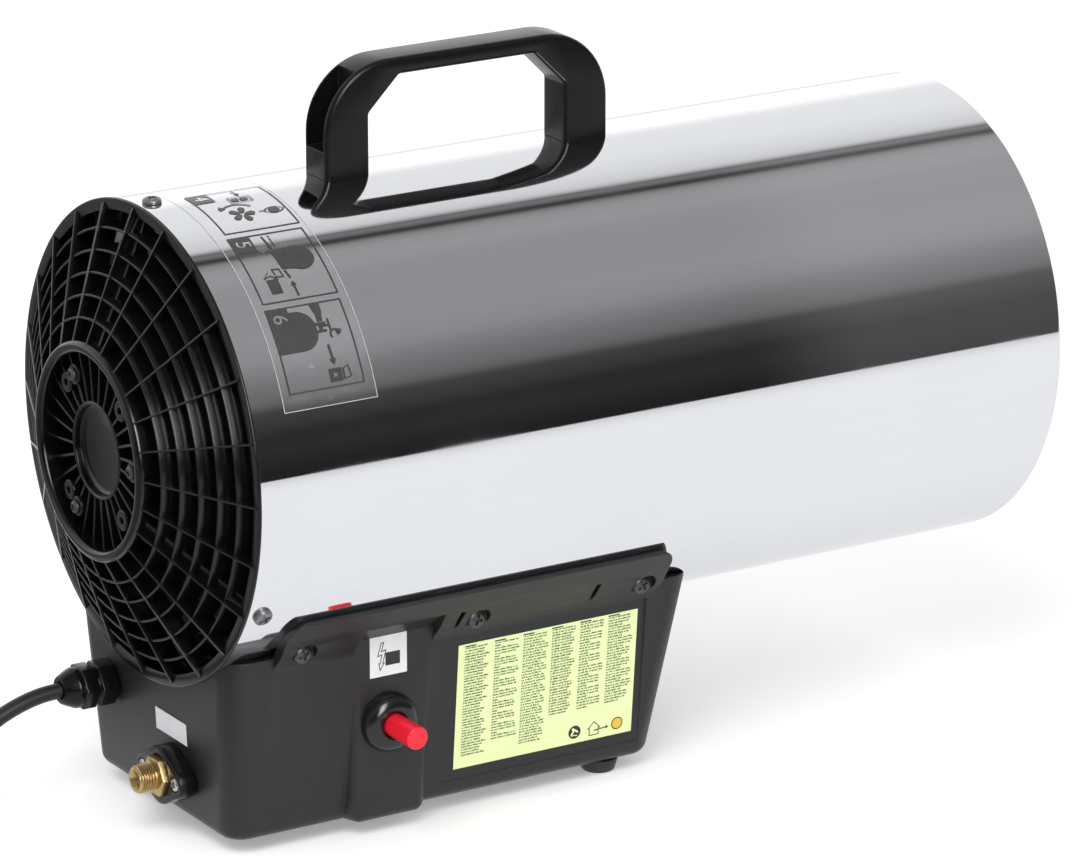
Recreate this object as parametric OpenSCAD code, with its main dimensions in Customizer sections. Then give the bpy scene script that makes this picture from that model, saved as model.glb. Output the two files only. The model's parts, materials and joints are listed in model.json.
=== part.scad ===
// Forced air heater: a polished steel barrel with a fan at the rear, a gas burner
// inside, a moulded base that holds the gas valve, and a carrying handle on top.
// Millimetres, +Z up, +X towards the hot air outlet. The origin lies on the floor,
// below the middle of the body. The control side faces -Y.

/* [Barrel] */
// Outer radius of the barrel
barrel_r = 110; // [107:1:116]
// Length of the barrel
barrel_l = 428; // [415:1:470]
// Sheet thickness of the barrel
barrel_wall = 0.8; // [0.6:0.1:1.2]
// Clearance between the barrel and the floor
barrel_clear = 70; // [68:1:80]

/* [Intake grille] */
// How far the hub stands out behind the barrel's rear rim
grille_reach = 28.3; // [24:0.5:34]
// Thickness of the ribs and rings
rib_t = 1.8; // [1.2:0.1:2.6]
// Depth of the ribs and rings along the axis
rib_depth = 10; // [7:0.5:13]
// Number of straight ribs
rib_count = 24; // [24]
// Number of rings between the hub and the outer band
ring_count = 5; // [3:1:6]
// Outer radius of the hub lip
hub_r = 50.3; // [48:0.5:52]
// Inner radius of the hub lip
hub_bore_r = 45.4; // [44:0.2:46]
// Radius of the middle cap
cap_r = 22.6; // [20:0.2:25]
// Number of cooling fins round the cap
fin_count = 28; // [20:1:32]

/* [Fan] */
// Radius of the motor can
motor_r = 41.5; // [40:0.5:43]
// Length of the motor can
motor_l = 58; // [50:1:60]
// Radius of the motor shaft
shaft_r = 4; // [3:0.5:5]
// Gap between the blade tips and the barrel
fan_tip_gap = 11.2; // [9:0.2:16]
// Number of fan blades
blade_count = 5; // [4:1:7]
// Pitch of the fan blades in degrees
blade_pitch = 32; // [24:1:36]

/* [Burner] */
// Gap between the flame tube and the barrel
flame_gap = 12.2; // [10:0.2:16]
// Length of the flame tube
flame_l = 290; // [280:1:292]
// Mouth radius of the burner cup
cup_mouth_r = 46; // [40:1:48]
// Base radius of the burner cup
cup_base_r = 36; // [32:1:38]
// Length of the burner cup
cup_l = 46; // [40:1:60]
// Radius of the gas pipes
pipe_r = 4; // [3:0.5:4]

/* [Base] */
// Length of the base at its floor
base_l = 226; // [222:1:232]
// Width of the base at its floor
base_w = 132; // [130:1:136]
// How much wider the base is at its rim
base_flare = 16; // [14:1:18]
// Wall of the base
base_wall = 2.5; // [2:0.1:3]
// Height of the rubber feet
foot_h = 6.5; // [5.5:0.5:9]
// Radius of the rubber feet at the top
foot_r = 9.5; // [8:0.5:11]

/* [Handle] */
// Length of the handle over its legs
handle_l = 149; // [140:1:160]
// Height of the handle above the barrel
handle_h = 52; // [48:1:60]
// Width of the handle
handle_w = 20; // [18:1:26]
// Outer radius of the handle's corners
handle_corner_r = 35; // [30:1:38]
// Thickness of the handle's legs
handle_leg = 23; // [20:1:25]
// Thickness of the handle's grip bar
handle_bar = 8; // [7:0.5:12]

/* [Push button] */
// Radius of the button's collar
collar_r = 13.8; // [12:0.2:15]
// How far the collar stands out
collar_h = 7; // [6:0.5:10]
// Radius of the button
button_r = 5.4; // [4.5:0.1:5.8]
// How far the button stands out of its collar
button_reach = 19.5; // [17:0.5:24]
// Travel of the button
button_travel = 8; // [5:0.5:9]

/* [Gas inlet] */
// Radius over the inlet thread, a G 1/4 pipe thread
thread_r = 6.58; // [6.58]
// Length of the inlet thread
thread_l = 9; // [8:0.5:13]

/* [Mains lead] */
// Diameter of the mains lead
lead_d = 7.4; // [7.4]
// How far the cable gland stands out of the base
gland_l = 26.5; // [24:0.5:32]

/* [Hidden] */
$fn = 96;

// Overrun of every cut past the face that it goes through
cut = 1;
// Gap between pieces that seat on each other
seat = 0.05;
// Radial clearance round a screw, a shaft or a button in its hole
run_gap = 0.04;

// Steel and plastic stock
sheet = 1.2;
label_t = 0.15;

// Places along the barrel, measured from its rear rim
rear_x = (grille_reach - barrel_l) / 2;
axis_h = barrel_r + barrel_clear;
barrel_in_r = barrel_r - barrel_wall;
fan_r = barrel_in_r - fan_tip_gap;
flame_r = barrel_in_r - flame_gap;
hem_r = 1.3;

// Intake grille
cone_rise_share = 0.4415;
band_r = barrel_in_r - run_gap;
band_w = 4.2;
band_x = -0.8;
skirt_l = 16;
skirt_t = 2;
hub_depth = 17;
hub_round = 2.2;
fin_t = 1.4;
fin_back = 5.4;
cap_wall = 1.9;
cap_floor_depth = 5;
cap_floor_t = 2;
boss_r = 4.9;
boss_ring_r = 36;
boss_hole_r = 1.7;
block_w = 6.5;
block_drop = 0.6;
support_w = 11;
support_drop = 4;
fin_depth = 9;
fin_drop = 0.3;
hub_face_drop = 1;
grille_screw_turns = [90, -30, 210];
hub_screw_turns = [0, 120, 240];
spare_hole_turns = [45, 135, 225, 315];
ring_pitch = (band_r - band_w - hub_r) / (ring_count + 0.75);

// Screws: radii of shank and head, and the height of the head
shank_r = 1.95;
head_r = 4.4;
head_h = 2.6;
small_shank_r = 1.5;
small_head_r = 3.1;
small_head_h = 1.9;
slot_w_share = 0.24;
slot_l_share = 0.62;
slot_depth_share = 0.45;
grille_screw_s = 8;
grille_screw_l = 8;

// Motor and fan
motor_s = -grille_reach + hub_face_drop + hub_depth + seat;
motor_bell_r = 17;
motor_bell_l = 6;
motor_cap_t = 3;
motor_fin_t = 1.6;
motor_fin_count = 16;
motor_fin_h = 2.4;
bearing_r = 9;
bearing_l = 7;
shaft_reach = 34;
fan_hub_r = 22;
fan_hub_l = 18;
blade_t = 1.6;
blade_root_w = 30;
blade_tip_w = 52;
fan_gap = 4;
fan_nut_af = 13;
fan_nut_h = 6;

// Flame tube and its spacers
flame_wall = 0.8;
flame_front_gap = 4;
flame_s = barrel_l - flame_front_gap - flame_l;
spacer_w = 14;
spacer_t = 1.2;
spacer_arc = 12;
spacer_turns = [30, 150, 270];
spacer_inset = 24;

// Burner
bracket_gap = 88;
bracket_s = flame_s + bracket_gap;
bracket_w = 24;
bracket_t = 1.6;
bracket_foot_l = 14;
probe_turn = 295;
spark_turn = 322;
probe_ring_r = 56;
arm_reach = 10;
holder_r = 7;
holder_hex_af = 17;
holder_hex_h = 8;
holder_l = 22;
holder_bore_r = 1.5;
jet_nut_h = 4;
jet_r = 4;
jet_l = 8;
jet_bore_r = 0.6;
cup_gap = 12.5;
cup_hole_r = 4;
cup_hole_count = 8;
cup_hole_ring_r = 25;
post_r = 3;
post_ring_z = 16;
probe_r = 2.4;
probe_l = 76;
capillary_r = 1;
insulator_r = 4;
insulator_l = 48;
spark_wire_r = 1;
spark_tip_l = 9;

// Base shell
base_rear_s = 6.3;
base_rear_lean = 4;
base_front_lean = 15;
base_corner_r = 12;
base_edge_r = 6;
base_rim_up = 25;
base_rim_drop = barrel_r - base_rim_up;
rim_t = 5;
base_floor_z = foot_h;
rim_z = axis_h - base_rim_drop;
saddle_gap = 0.1;

// Flange bands that hug the barrel along both sides of the base
band_from_s = 25;
band_to_s = 226;
band_lip_up = 46;
band_lip_drop = barrel_r - band_lip_up;
band_lip_t = 3;
band_root_up = 16;
band_root_drop = barrel_r - band_root_up;
band_root_out = -0.5;
band_corner_r = 9;
pocket_r = 6.2;
pocket_up = 26;
pocket_drop = barrel_r - pocket_up;
pocket_floor_y = 77;
pocket_places = [37.5, 127.5, 216];
rib_notch_s = [115, 187];
rib_notch_w = 2.6;
rib_notch_lean = 6;

// Bulge that carries the push button, and the label panel forward of it
bulge_face_y = 73.3;
bulge_from_s = 66;
bulge_to_s = 104;
bulge_side_slope = 4;
bulge_lean = 7;
bulge_edge_r = 5;
bulge_top_up = 32;
bulge_top_drop = barrel_r - bulge_top_up;
scoop_out_y = 84.5;
scoop_up = 34;
scoop_drop = barrel_r - scoop_up;
button_s = 84;
button_under = 16;
button_drop = barrel_r + button_under;
panel_s = [114, 222];
panel_up = 17.5;
panel_under = 55;
panel_drop = [barrel_r - panel_up, barrel_r + panel_under];
panel_depth = 0.9;

// Push button group, along Y
spigot_r = 8.5;
spigot_l = 12;
spigot_seat_l = 5.2;
collar_round = 4.4;
collar_nut_af = 20;
collar_nut_h = 3.6;
button_flange_r = 6.8;
button_flange_t = 2;
stem_r = 2;
spring_wire_r = 0.45;
spring_turns = 6;
spring_rings = 8;
spring_sides = 6;
spring_pocket_r = 5.6;
spring_pocket_l = 12;
valve_w = 26;
valve_l = 40;
valve_h = 24;
port_r = 6;
port_l = 5;
pipe_nut_af = 13;
pipe_nut_l = 6;
piezo_r = 6;
piezo_l = 38;
piezo_gap = 10;
piezo_plunger_r = 1.8;
piezo_plunger_in = 14;
piezo_bracket_t = 1.6;
piezo_bracket_w = 20;

// Gas inlet, along X
inlet_y = -16.5;
inlet_under = 43;
inlet_drop = barrel_r + inlet_under;
inlet_plate = [42, 27, 8];
inlet_plate_eye_r = 7;
inlet_eye_y = 15;
nipple_hex_af = 17;
nipple_hex_h = 6;
nipple_bore_r = 3;
nipple_cone_r = 4.6;
nipple_cone_l = 5;
nipple_neck_r = 6.4;
nipple_tail_l = 16;

// Cable gland, along X
gland_y = 42;
gland_under = 17;
gland_drop = barrel_r + gland_under;
gland_body_af = 19;
gland_body_l = 10;
gland_nut_r = 9.8;
gland_nut_l = gland_l - gland_body_l;
gland_tail_r = 7.6;
gland_tail_l = 9;
locknut_h = 4;
gland_mouth_gap = 0.1;

// Feet
foot_low_r = 7;
foot_s = [27, 208];
foot_y = [34, 54];
foot_boss_r = 6;
foot_boss_h = 9;
foot_recess = 3.4;

// Handle
handle_rear_s = 91;
handle_pocket_wall = 2.2;
handle_pocket_depth = 11;
handle_pocket_l = 17;
handle_pocket_drop = 4.3;
handle_chamfer = 16;
handle_screw_l = 16;

// Labels
sticker_s = [16, 63];
sticker_turns = [20.5, 97];
panel_label_size = [96, 62];
panel_label_s = 122;
panel_label_up = 12.5;
panel_label_drop = barrel_r - panel_label_up;
button_label_w = 19.2;
button_label_up = 25.2;
button_label_drop = barrel_r - button_label_up;
button_label_s = 84.3;
inlet_label_size = [29, 10.5];
inlet_label_y = [-1, -30];
inlet_label_under = 16;
inlet_label_drop = barrel_r + inlet_label_under;

// Terminal block and overheat cut-out
block_size = [30, 22, 18];
block_s = 36;
block_y = 30;
block_cell_r = 2;
cutout_s = 170;
cutout_r = 8;
cutout_h = 9;
cutout_tab = [30, 9, 1.2];

// Holes in the barrel's underside, as places along it and across it
pipe_hole = [120, 0];
probe_hole = [128, -36];
spark_hole = [130, 30];
motor_hole = [40, 16];
pipe_hole_r = 7;
wire_hole_r = 4.5;
grommet_lip = 2;
grommet_t = 1.5;

// Routes inside, as points along the barrel, across it and above its axis. They are
// drawn for a bracket at route_bracket_s and stretch between two places along it, and
// between two radii, when the bracket or the barrel's wall moves
route_bracket_s = 222;
route_stretch_s = [132, 199];
route_stretch_r = [70, 110];
gas_pipe_route = to_burner([
    [102.1, -42, -128], [109, -42, -128], [116, -38.5, -128], [120, -30, -128],
    [120, -14, -128], [120, -5, -126], [120, -1, -119], [120, 0, -112],
    [120, 0, -60], [120, 0, -12], [121, 0, -5], [125, 0, -1], [132, 0, 0],
    [170, 0, 0], [213.9, 0, 0]]);
inlet_pipe_route = [
    [20.85, -16.5, -153], [29, -16.5, -153], [37, -17, -151], [44, -21, -144],
    [48, -27, -136], [52, -33, -130], [58, -36, -128], [65.9, -36, -128]];
capillary_route = to_burner([
    [97.05, -56, -122], [104, -56, -122], [114, -52, -120], [122, -44, -117],
    [127, -38, -112], [128, -36, -104], [127, -36, -95], [129, -35, -87],
    [137, -34, -78], [160, -32, -66], [190, -26, -55], [205, -23.7, -50.8], [212, -23.7, -50.8]]);
spark_lead_route = to_burner([
    [84, 21.6, -126], [84, 26, -126], [86, 31, -125.5], [92, 36, -124],
    [104, 38, -120], [118, 34, -116], [127, 31, -112], [130, 30, -106],
    [129, 29, -96], [130, 26, -88], [136, 21, -80], [150, 8, -68],
    [172, -22, -48], [186, -40, -37], [193, -44.1, -34.5], [199.6, -44.1, -34.5]]);
motor_lead_route = [
    [50, 41, -150.8], [50, 41, -148.6], [49, 38, -143.5], [46, 30, -135], [41, 20, -124],
    [40, 16, -114], [40, 16, -104], [40, 13, -70], [38, 8, -48], [36, 6, -38.7]];
mains_core_route = [
    [16.05, 42, -127], [20, 42, -127], [25, 41.8, -131.5], [27, 41.4, -140],
    [27.4, 41, -149], [28, 41, -156], [31, 41, -159.6], [35.6, 41, -160]];
cutout_lead_route = [
    [66.05, 36, -160], [80, 36, -160], [110, 33, -159], [140, 22, -156],
    [160, 8, -146], [168, 1, -132], [170, 0, -119.1]];
wire_r = 1.6;

// Mains lead outside: down from the gland to the top of the coil, from the row's origin
lead_r = lead_d / 2;
lead_sides = 10;
coil_sides = 6;
coil_rings = 24;
lead_gap = 0.7;
coil_in_turns = 2;
coil_centre = [-344, 82];
coil_r = 54;
lead_route = [
    [-183.85, 42, 53], [-205, 42, 53], [-222.4, 42, 53], [-232, 42, 52.4],
    [-242, 41.6, 50.4], [-253, 40.8, 46.8], [-264, 39.5, 41.6], [-275, 37.8, 35.4],
    [-286, 35.8, 29], [-297, 33.6, 23], [-308, 31.6, 18.2], [-319, 29.8, 14.8],
    [-330, 28.5, 12.8], [-337, 28.1, 12], [-343.4, 28, 11.8]];
tail_route = [
    [-343.4, 136, 3.7], [-336, 136, 3.7], [-326, 136, 5.2], [-315, 136, 9.5],
    [-305, 136, 14.4], [-295, 136, 17.6], [-285.5, 136, 18.5]];
plug_start = [-285, 136, 18.5];
plug_r = 18.5;
plug_neck_r = 6.5;
plug_neck_l = 18;
plug_l = 36;
plug_round = 5;
pin_r = 2.4;
pin_l = 19;
pin_y = 9.5;

function deg(radians) = radians * 180 / PI;
function cone_x(r) = (r - barrel_r) * cone_rise_share;
function unit(v) = v / norm(v);
function place(p) = [rear_x + p[0], p[1], axis_h - under_axis(-p[2])];

// Part of a move that reaches a value between two limits, none below and all above
function reach(v, limits) =
    min(1, max(0, (v - limits[0]) / (limits[1] - limits[0])));
function under_axis(drop) =
    drop + (barrel_r - route_stretch_r[1]) * reach(drop, route_stretch_r);
function to_burner(route) = [for (p = route)
    [p[0] + (bracket_s - route_bracket_s) * reach(p[0], route_stretch_s), p[1], p[2]]];

// Half width of the barrel at a drop below its axis
function barrel_half_w(drop, r = barrel_r) = sqrt(r * r - drop * drop);

// Half width of the base at a height above the floor
function base_half_w(z) =
    base_w / 2 + base_flare / 2 * (z - base_floor_z) / (rim_z - base_floor_z);

// Place of the base's rear face along the barrel, at a height above the floor
function rear_face_s(z) =
    base_rear_s - base_rear_lean * (z - base_floor_z) / (rim_z - base_floor_z);

// Direction of a route at one of its points
function heading(route, i) =
    i == 0 ? unit(route[1] - route[0]) :
    i == len(route) - 1 ? unit(route[i] - route[i - 1]) :
    unit(unit(route[i + 1] - route[i]) + unit(route[i] - route[i - 1]));

// One ring of a swept tube: the ring's first axis is carried on from ring to ring
function carried(v, along) = unit(v - along * (v * along));
function first_axis(along) =
    carried(abs(along[2]) < 0.8 ? [0, 0, 1] : [0, 1, 0], along);
function axes(route, i, v) =
    let (along = heading(route, i), side = carried(v, along))
    i == len(route) - 1 ? [side] : concat([side], axes(route, i + 1, side));
function ring_points(centre, along, side, r, sides) =
    let (other = cross(along, side))
    [for (k = [0:sides - 1])
        centre + r * (side * cos(360 * k / sides) + other * sin(360 * k / sides))];

// A solid tube along a route, closed at both ends
module tube_along(route, r, sides) {
    n = len(route);
    side = axes(route, 0, first_axis(heading(route, 0)));
    points = [for (i = [0:n - 1])
        each ring_points(route[i], heading(route, i), side[i], r, sides)];
    walls = [for (i = [0:n - 2], k = [0:sides - 1])
        let (a = i * sides + k, b = i * sides + (k + 1) % sides)
        each [[a, a + sides, b], [b, a + sides, b + sides]]];
    ends = [[for (k = [0:sides - 1]) k], [for (k = [sides - 1:-1:0]) (n - 1) * sides + k]];
    polyhedron(points, concat(walls, ends));
}

// Puts a shape drawn along Z on the barrel's axis, at a distance from its rear rim
module on_axis(s) translate([rear_x + s, 0, axis_h]) rotate([0, 90, 0]) children();

// Turns a shape drawn upwards to an angle round the axis, seen from the rear
module spoke(turn, s = 0)
    translate([rear_x + s, 0, axis_h]) rotate([90 - turn, 0, 0]) children();

// Puts a shape drawn along Z to point out of the control side
module facing_out(s, drop, y)
    translate([rear_x + s, -y, axis_h - drop]) rotate([90, 0, 0]) children();

// Puts a shape drawn along Z to point out of the rear
module facing_back(s, y, drop)
    translate([rear_x + s, y, axis_h - drop]) rotate([0, -90, 0]) children();

module hexagon(af, h) cylinder(r = af / sqrt(3), h = h, $fn = 6);

module tube(r_out, r_in, h)
    difference() {
        cylinder(r = r_out, h = h);
        translate([0, 0, -cut]) cylinder(r = r_in, h = h + 2 * cut);
    }

// A pan head screw that points down Z: its head stands on the plane Z = 0
module pan_screw(shank, head, head_height, length) {
    difference() {
        rotate_extrude() polygon([
            [0, 0], [head, 0], [head, head_height * 0.4],
            [head * 0.86, head_height * 0.78], [head * 0.6, head_height], [0, head_height]]);
        for (turn = [0, 90]) rotate(turn)
            translate([-head * slot_l_share, -head * slot_w_share / 2,
                       head_height * (1 - slot_depth_share)])
                cube([head * 2 * slot_l_share, head * slot_w_share, head_height]);
    }
    translate([0, 0, -length]) cylinder(r = shank, h = length);
}

module barrel() color("gainsboro")
    difference() {
        on_axis(0) union() {
            tube(barrel_r, barrel_in_r, barrel_l);
            translate([0, 0, barrel_l - hem_r]) rotate_extrude()
                translate([barrel_r - hem_r, 0]) circle(r = hem_r, $fn = 32);
        }
        for (turn = grille_screw_turns) spoke(turn, grille_screw_s)
            cylinder(r = shank_r + run_gap, h = barrel_r + cut);
        for (s = handle_screw_places()) spoke(90, s)
            cylinder(r = shank_r + run_gap, h = barrel_r + cut);
        for (s = pocket_places, side = [-1, 1])
            translate([rear_x + s, side * barrel_in_r, axis_h - pocket_drop])
                rotate([90 * side, 0, 0])
                    cylinder(r = shank_r + run_gap, h = barrel_in_r - base_half_w(rim_z) / 2);
        barrel_floor_hole(pipe_hole, pipe_hole_r);
        for (hole = [probe_hole, spark_hole, motor_hole])
            barrel_floor_hole(hole, wire_hole_r);
    }

module barrel_floor_hole(hole, r)
    translate([rear_x + hole[0], hole[1], axis_h - barrel_r - cut])
        cylinder(r = r, h = barrel_r / 2);

module intake_grille() color("#1c1c1e")
    difference() {
        union() {
            on_axis(0) rotate_extrude() grille_profile();
            for (i = [0:rib_count - 1]) spoke(360 * i / rib_count)
                rotate([90, 0, 0]) linear_extrude(rib_t, center = true) rib_outline();
            for (i = [0:fin_count - 1]) spoke(360 * (i + 0.5) / fin_count)
                translate([-grille_reach + fin_back + fin_drop, -fin_t / 2,
                           cap_r - cap_wall / 2])
                    cube([fin_depth, fin_t, hub_bore_r - cap_r + cap_wall]);
            for (turn = grille_screw_turns) spoke(turn) {
                screw_block();
                support_spoke();
            }
            for (turn = concat(hub_screw_turns, spare_hole_turns)) spoke(turn)
                translate([-grille_reach + fin_back - hub_face_drop, 0, boss_ring_r])
                    rotate([0, 90, 0]) cylinder(r = boss_r, h = hub_boss_l());
        }
        for (turn = grille_screw_turns) spoke(turn, grille_screw_s)
            cylinder(r = shank_r + run_gap, h = barrel_r);
        for (turn = concat(hub_screw_turns, spare_hole_turns)) spoke(turn)
            translate([-grille_reach, 0, boss_ring_r])
                rotate([0, 90, 0]) cylinder(r = boss_hole_r, h = hub_depth + 2 * cut);
    }

function hub_boss_l() = hub_depth - fin_back + 2 * hub_face_drop;
function ring_r(i) = band_r - band_w - ring_pitch * (i + 0.75);

// Corner points of an outline's rounded edge, from one angle to another
function arc_points(centre, r, from, to, steps = 6) =
    [for (i = [0:steps]) let (a = from + (to - from) * i / steps)
        [centre[0] + r * cos(a), centre[1] + r * sin(a)]];

// Half section of the grille's round parts: radius, then place along the axis
module grille_profile() {
    polygon([
        [band_r - band_w, band_x], [band_r, band_x],
        [band_r, skirt_l], [band_r - skirt_t, skirt_l],
        [band_r - skirt_t, rib_depth / 2], [band_r - band_w, rib_depth / 2]]);
    for (i = [0:ring_count - 1])
        translate([ring_r(i) - rib_t / 2, cone_x(ring_r(i))]) square([rib_t, rib_depth]);
    polygon(concat(
        arc_points([hub_bore_r + hub_face_drop, hub_face_drop - grille_reach],
                   hub_face_drop, 180, 270, 3),
        arc_points([hub_r - hub_round, hub_round - grille_reach], hub_round, 270, 360),
        [[hub_r, hub_depth + hub_face_drop - grille_reach],
         [hub_bore_r, hub_depth + hub_face_drop - grille_reach]]));
    translate([cap_r - cap_wall, fin_back - grille_reach])
        square([cap_wall, hub_depth - fin_back + hub_face_drop]);
    translate([0, fin_back + cap_floor_depth - grille_reach])
        square([cap_r - cap_wall / 2, cap_floor_t]);
}

// Side view of one rib: its front edge follows the cone from the hub out over the band
module rib_outline() {
    inner = hub_bore_r + 1.5 * rib_t;
    outer = band_r - skirt_t / 4;
    polygon([
        [cone_x(inner), inner], [cone_x(outer), outer],
        [rib_depth / 3, outer], [cone_x(band_r - band_w) + rib_depth, band_r - 0.8 * band_w],
        [cone_x(inner) + rib_depth, inner]]);
}

// Block in the outer row of cells that takes a grille screw
module screw_block() {
    low = ring_r(0);
    rotate([90, 0, 0]) linear_extrude(block_w, center = true) polygon([
        [cone_x(low) + block_drop, low], [band_x + block_drop, band_r - 0.8 * band_w],
        [band_x + block_drop, band_r - skirt_t / 2], [skirt_l - cut, band_r - skirt_t / 2],
        [skirt_l - cut, low]]);
}

// Wide spoke behind the lattice, from the hub to the band, that carries the motor
module support_spoke() {
    inner = hub_bore_r + 1.2 * rib_t;
    outer = band_r - 0.3 * band_w;
    rotate([90, 0, 0]) linear_extrude(support_w, center = true) polygon([
        [cone_x(inner) + support_drop, inner], [cone_x(outer) + support_drop, outer],
        [cone_x(outer) + rib_depth * 1.2, outer], [cone_x(inner) + rib_depth * 1.2, inner]]);
}

module grille_screws() color("dimgray")
    for (turn = grille_screw_turns) spoke(turn, grille_screw_s)
        translate([0, 0, barrel_r + seat])
            pan_screw(shank_r, head_r, head_h, grille_screw_l);

module motor_housing() color("#3a3a3d")
    difference() {
        on_axis(motor_s) union() {
            cylinder(r = motor_r - motor_fin_h, h = motor_l);
            cylinder(r = motor_r, h = motor_cap_t);
            translate([0, 0, motor_l - motor_cap_t]) cylinder(r = motor_r, h = motor_cap_t);
            translate([0, 0, motor_l]) cylinder(r = motor_bell_r, h = motor_bell_l);
            for (i = [0:motor_fin_count - 1]) rotate(360 * i / motor_fin_count)
                translate([0, -motor_fin_t / 2, 0]) cube([motor_r - seat, motor_fin_t, motor_l]);
        }
        for (turn = hub_screw_turns) spoke(turn, motor_s - cut)
            translate([0, 0, boss_ring_r]) rotate([0, 90, 0])
                cylinder(r = small_shank_r + run_gap, h = motor_screw_l() / 2 + cut);
        on_axis(motor_s + motor_l + motor_bell_l - bearing_l)
            cylinder(r = bearing_r, h = bearing_l + cut);
        on_axis(motor_s + motor_cap_t) cylinder(r = bearing_r, h = bearing_l);
        on_axis(motor_s + motor_cap_t)
            cylinder(r = shaft_r + 2 * shank_r, h = motor_l + motor_bell_l);
    }

function motor_screw_l() = hub_depth - fin_back + 3 * hub_face_drop + 8 * hub_face_drop;

module motor_bearings() color("#b08d57")
    for (s = [motor_s + motor_cap_t, motor_s + motor_l + motor_bell_l - bearing_l])
        on_axis(s + seat) tube(bearing_r - seat, shaft_r + run_gap, bearing_l - 2 * seat);

module motor_screws() color("dimgray")
    for (turn = hub_screw_turns) spoke(turn)
        translate([-grille_reach + fin_back - hub_face_drop - seat, 0, boss_ring_r])
            rotate([0, -90, 0])
                pan_screw(small_shank_r, small_head_r, small_head_h, motor_screw_l());

function fan_s() = motor_s + motor_l + motor_bell_l + fan_gap;

module motor_shaft() color("silver")
    on_axis(motor_s + motor_cap_t + seat)
        cylinder(r = shaft_r, h = motor_l + motor_bell_l + shaft_reach - motor_cap_t);

module fan_impeller() color("#a9adb0") {
    on_axis(fan_s()) union() {
        tube(fan_hub_r, shaft_r + seat, sheet * 2);
        tube(shaft_r * 2.2, shaft_r + seat, fan_hub_l);
        tube(fan_hub_r, fan_hub_r - sheet, fan_hub_l);
    }
    for (i = [0:blade_count - 1]) spoke(90 + 360 * i / blade_count, fan_s() + fan_hub_l / 2)
        rotate(blade_pitch) fan_blade();
}

// One blade: a plate that widens outwards, cut round at the tip
module fan_blade()
    intersection() {
        rotate([90, 0, 0]) linear_extrude(blade_t, center = true) polygon([
            [-blade_root_w / 2, fan_hub_r - sheet], [blade_root_w / 2, fan_hub_r - sheet],
            [blade_tip_w / 2, fan_r], [-blade_tip_w / 2, fan_r]]);
        rotate(-blade_pitch) rotate([0, 90, 0])
            cylinder(r = fan_r, h = 2 * blade_tip_w, center = true);
    }

module fan_nut() color("#c9a227")
    on_axis(fan_s() + fan_hub_l + seat) difference() {
        hexagon(fan_nut_af, fan_nut_h);
        translate([0, 0, -cut]) cylinder(r = shaft_r + run_gap, h = fan_nut_h + 2 * cut);
    }

module flame_tube() color("#8c8a86")
    difference() {
        on_axis(flame_s) tube(flame_r, flame_r - flame_wall, flame_l);
        for (s = spacer_places(), turn = spacer_turns) spoke(turn, s)
            cylinder(r = small_shank_r + run_gap, h = flame_r + cut);
    }

function spacer_places() = [flame_s + spacer_inset, flame_s + flame_l - spacer_inset];

module tube_spacers() color("#9a9893")
    for (s = spacer_places(), turn = spacer_turns) spoke(turn, s) {
        arc_pad(flame_r + seat, flame_r + seat + spacer_t);
        arc_pad(barrel_in_r - seat - spacer_t, barrel_in_r - seat);
        translate([-spacer_w / 2, -spacer_t / 2, flame_r + spacer_t / 2])
            cube([spacer_w, spacer_t, barrel_in_r - flame_r - spacer_t]);
        translate([0, 0, flame_r - flame_wall - spacer_t])
            cylinder(r = small_head_r, h = spacer_t - 3 * seat);
        translate([0, 0, flame_r - flame_wall - spacer_t])
            cylinder(r = small_shank_r, h = flame_wall + 2 * spacer_t);
    }

// A curved pad, concentric with the barrel, centred on the upward direction
module arc_pad(r_in, r_out)
    translate([-spacer_w / 2, 0, 0]) rotate([0, 90, 0])
        rotate(180 - spacer_arc / 2) rotate_extrude(angle = spacer_arc)
            translate([r_in, 0]) square([r_out - r_in, spacer_w]);

module burner_bracket() color("#8c8a86")
    difference() {
        union() {
            intersection() {
                on_axis(bracket_s) cylinder(r = flame_r - flame_wall - seat, h = bracket_t);
                union() {
                    translate([rear_x + bracket_s, -bracket_w / 2, axis_h - flame_r])
                        cube([bracket_t, bracket_w, 2 * flame_r]);
                    for (turn = [probe_turn, spark_turn]) spoke(turn, bracket_s)
                        translate([0, -arm_reach, 0])
                            cube([bracket_t, 2 * arm_reach, probe_ring_r + arm_reach]);
                }
            }
            for (turn = [90, 270]) spoke(turn, bracket_s + bracket_foot_l / 2)
                bracket_foot();
        }
        on_axis(bracket_s - cut) cylinder(r = holder_r + run_gap, h = bracket_t + 2 * cut);
        for (z = [-post_ring_z, post_ring_z])
            translate([rear_x + bracket_s - cut, 0, axis_h + z]) rotate([0, 90, 0])
                cylinder(r = small_shank_r + run_gap, h = bracket_t + 2 * cut);
        spoke(probe_turn, bracket_s - cut) translate([0, 0, probe_ring_r])
            rotate([0, 90, 0]) cylinder(r = probe_r + run_gap, h = bracket_t + 2 * cut);
        spoke(spark_turn, bracket_s - cut) translate([0, 0, probe_ring_r])
            rotate([0, 90, 0]) cylinder(r = insulator_r + run_gap, h = bracket_t + 2 * cut);
    }

// Bent foot of the bracket that lies inside the flame tube
module bracket_foot() {
    foot_r_out = flame_r - flame_wall - seat;
    foot_arc = deg(bracket_w / flame_r);
    translate([-bracket_foot_l / 2, 0, 0]) rotate([0, 90, 0])
        rotate(180 - foot_arc / 2) rotate_extrude(angle = foot_arc)
            translate([foot_r_out - bracket_t, 0]) square([bracket_t, bracket_foot_l]);
}

function cup_s() = bracket_s + bracket_t + cup_gap;

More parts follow.
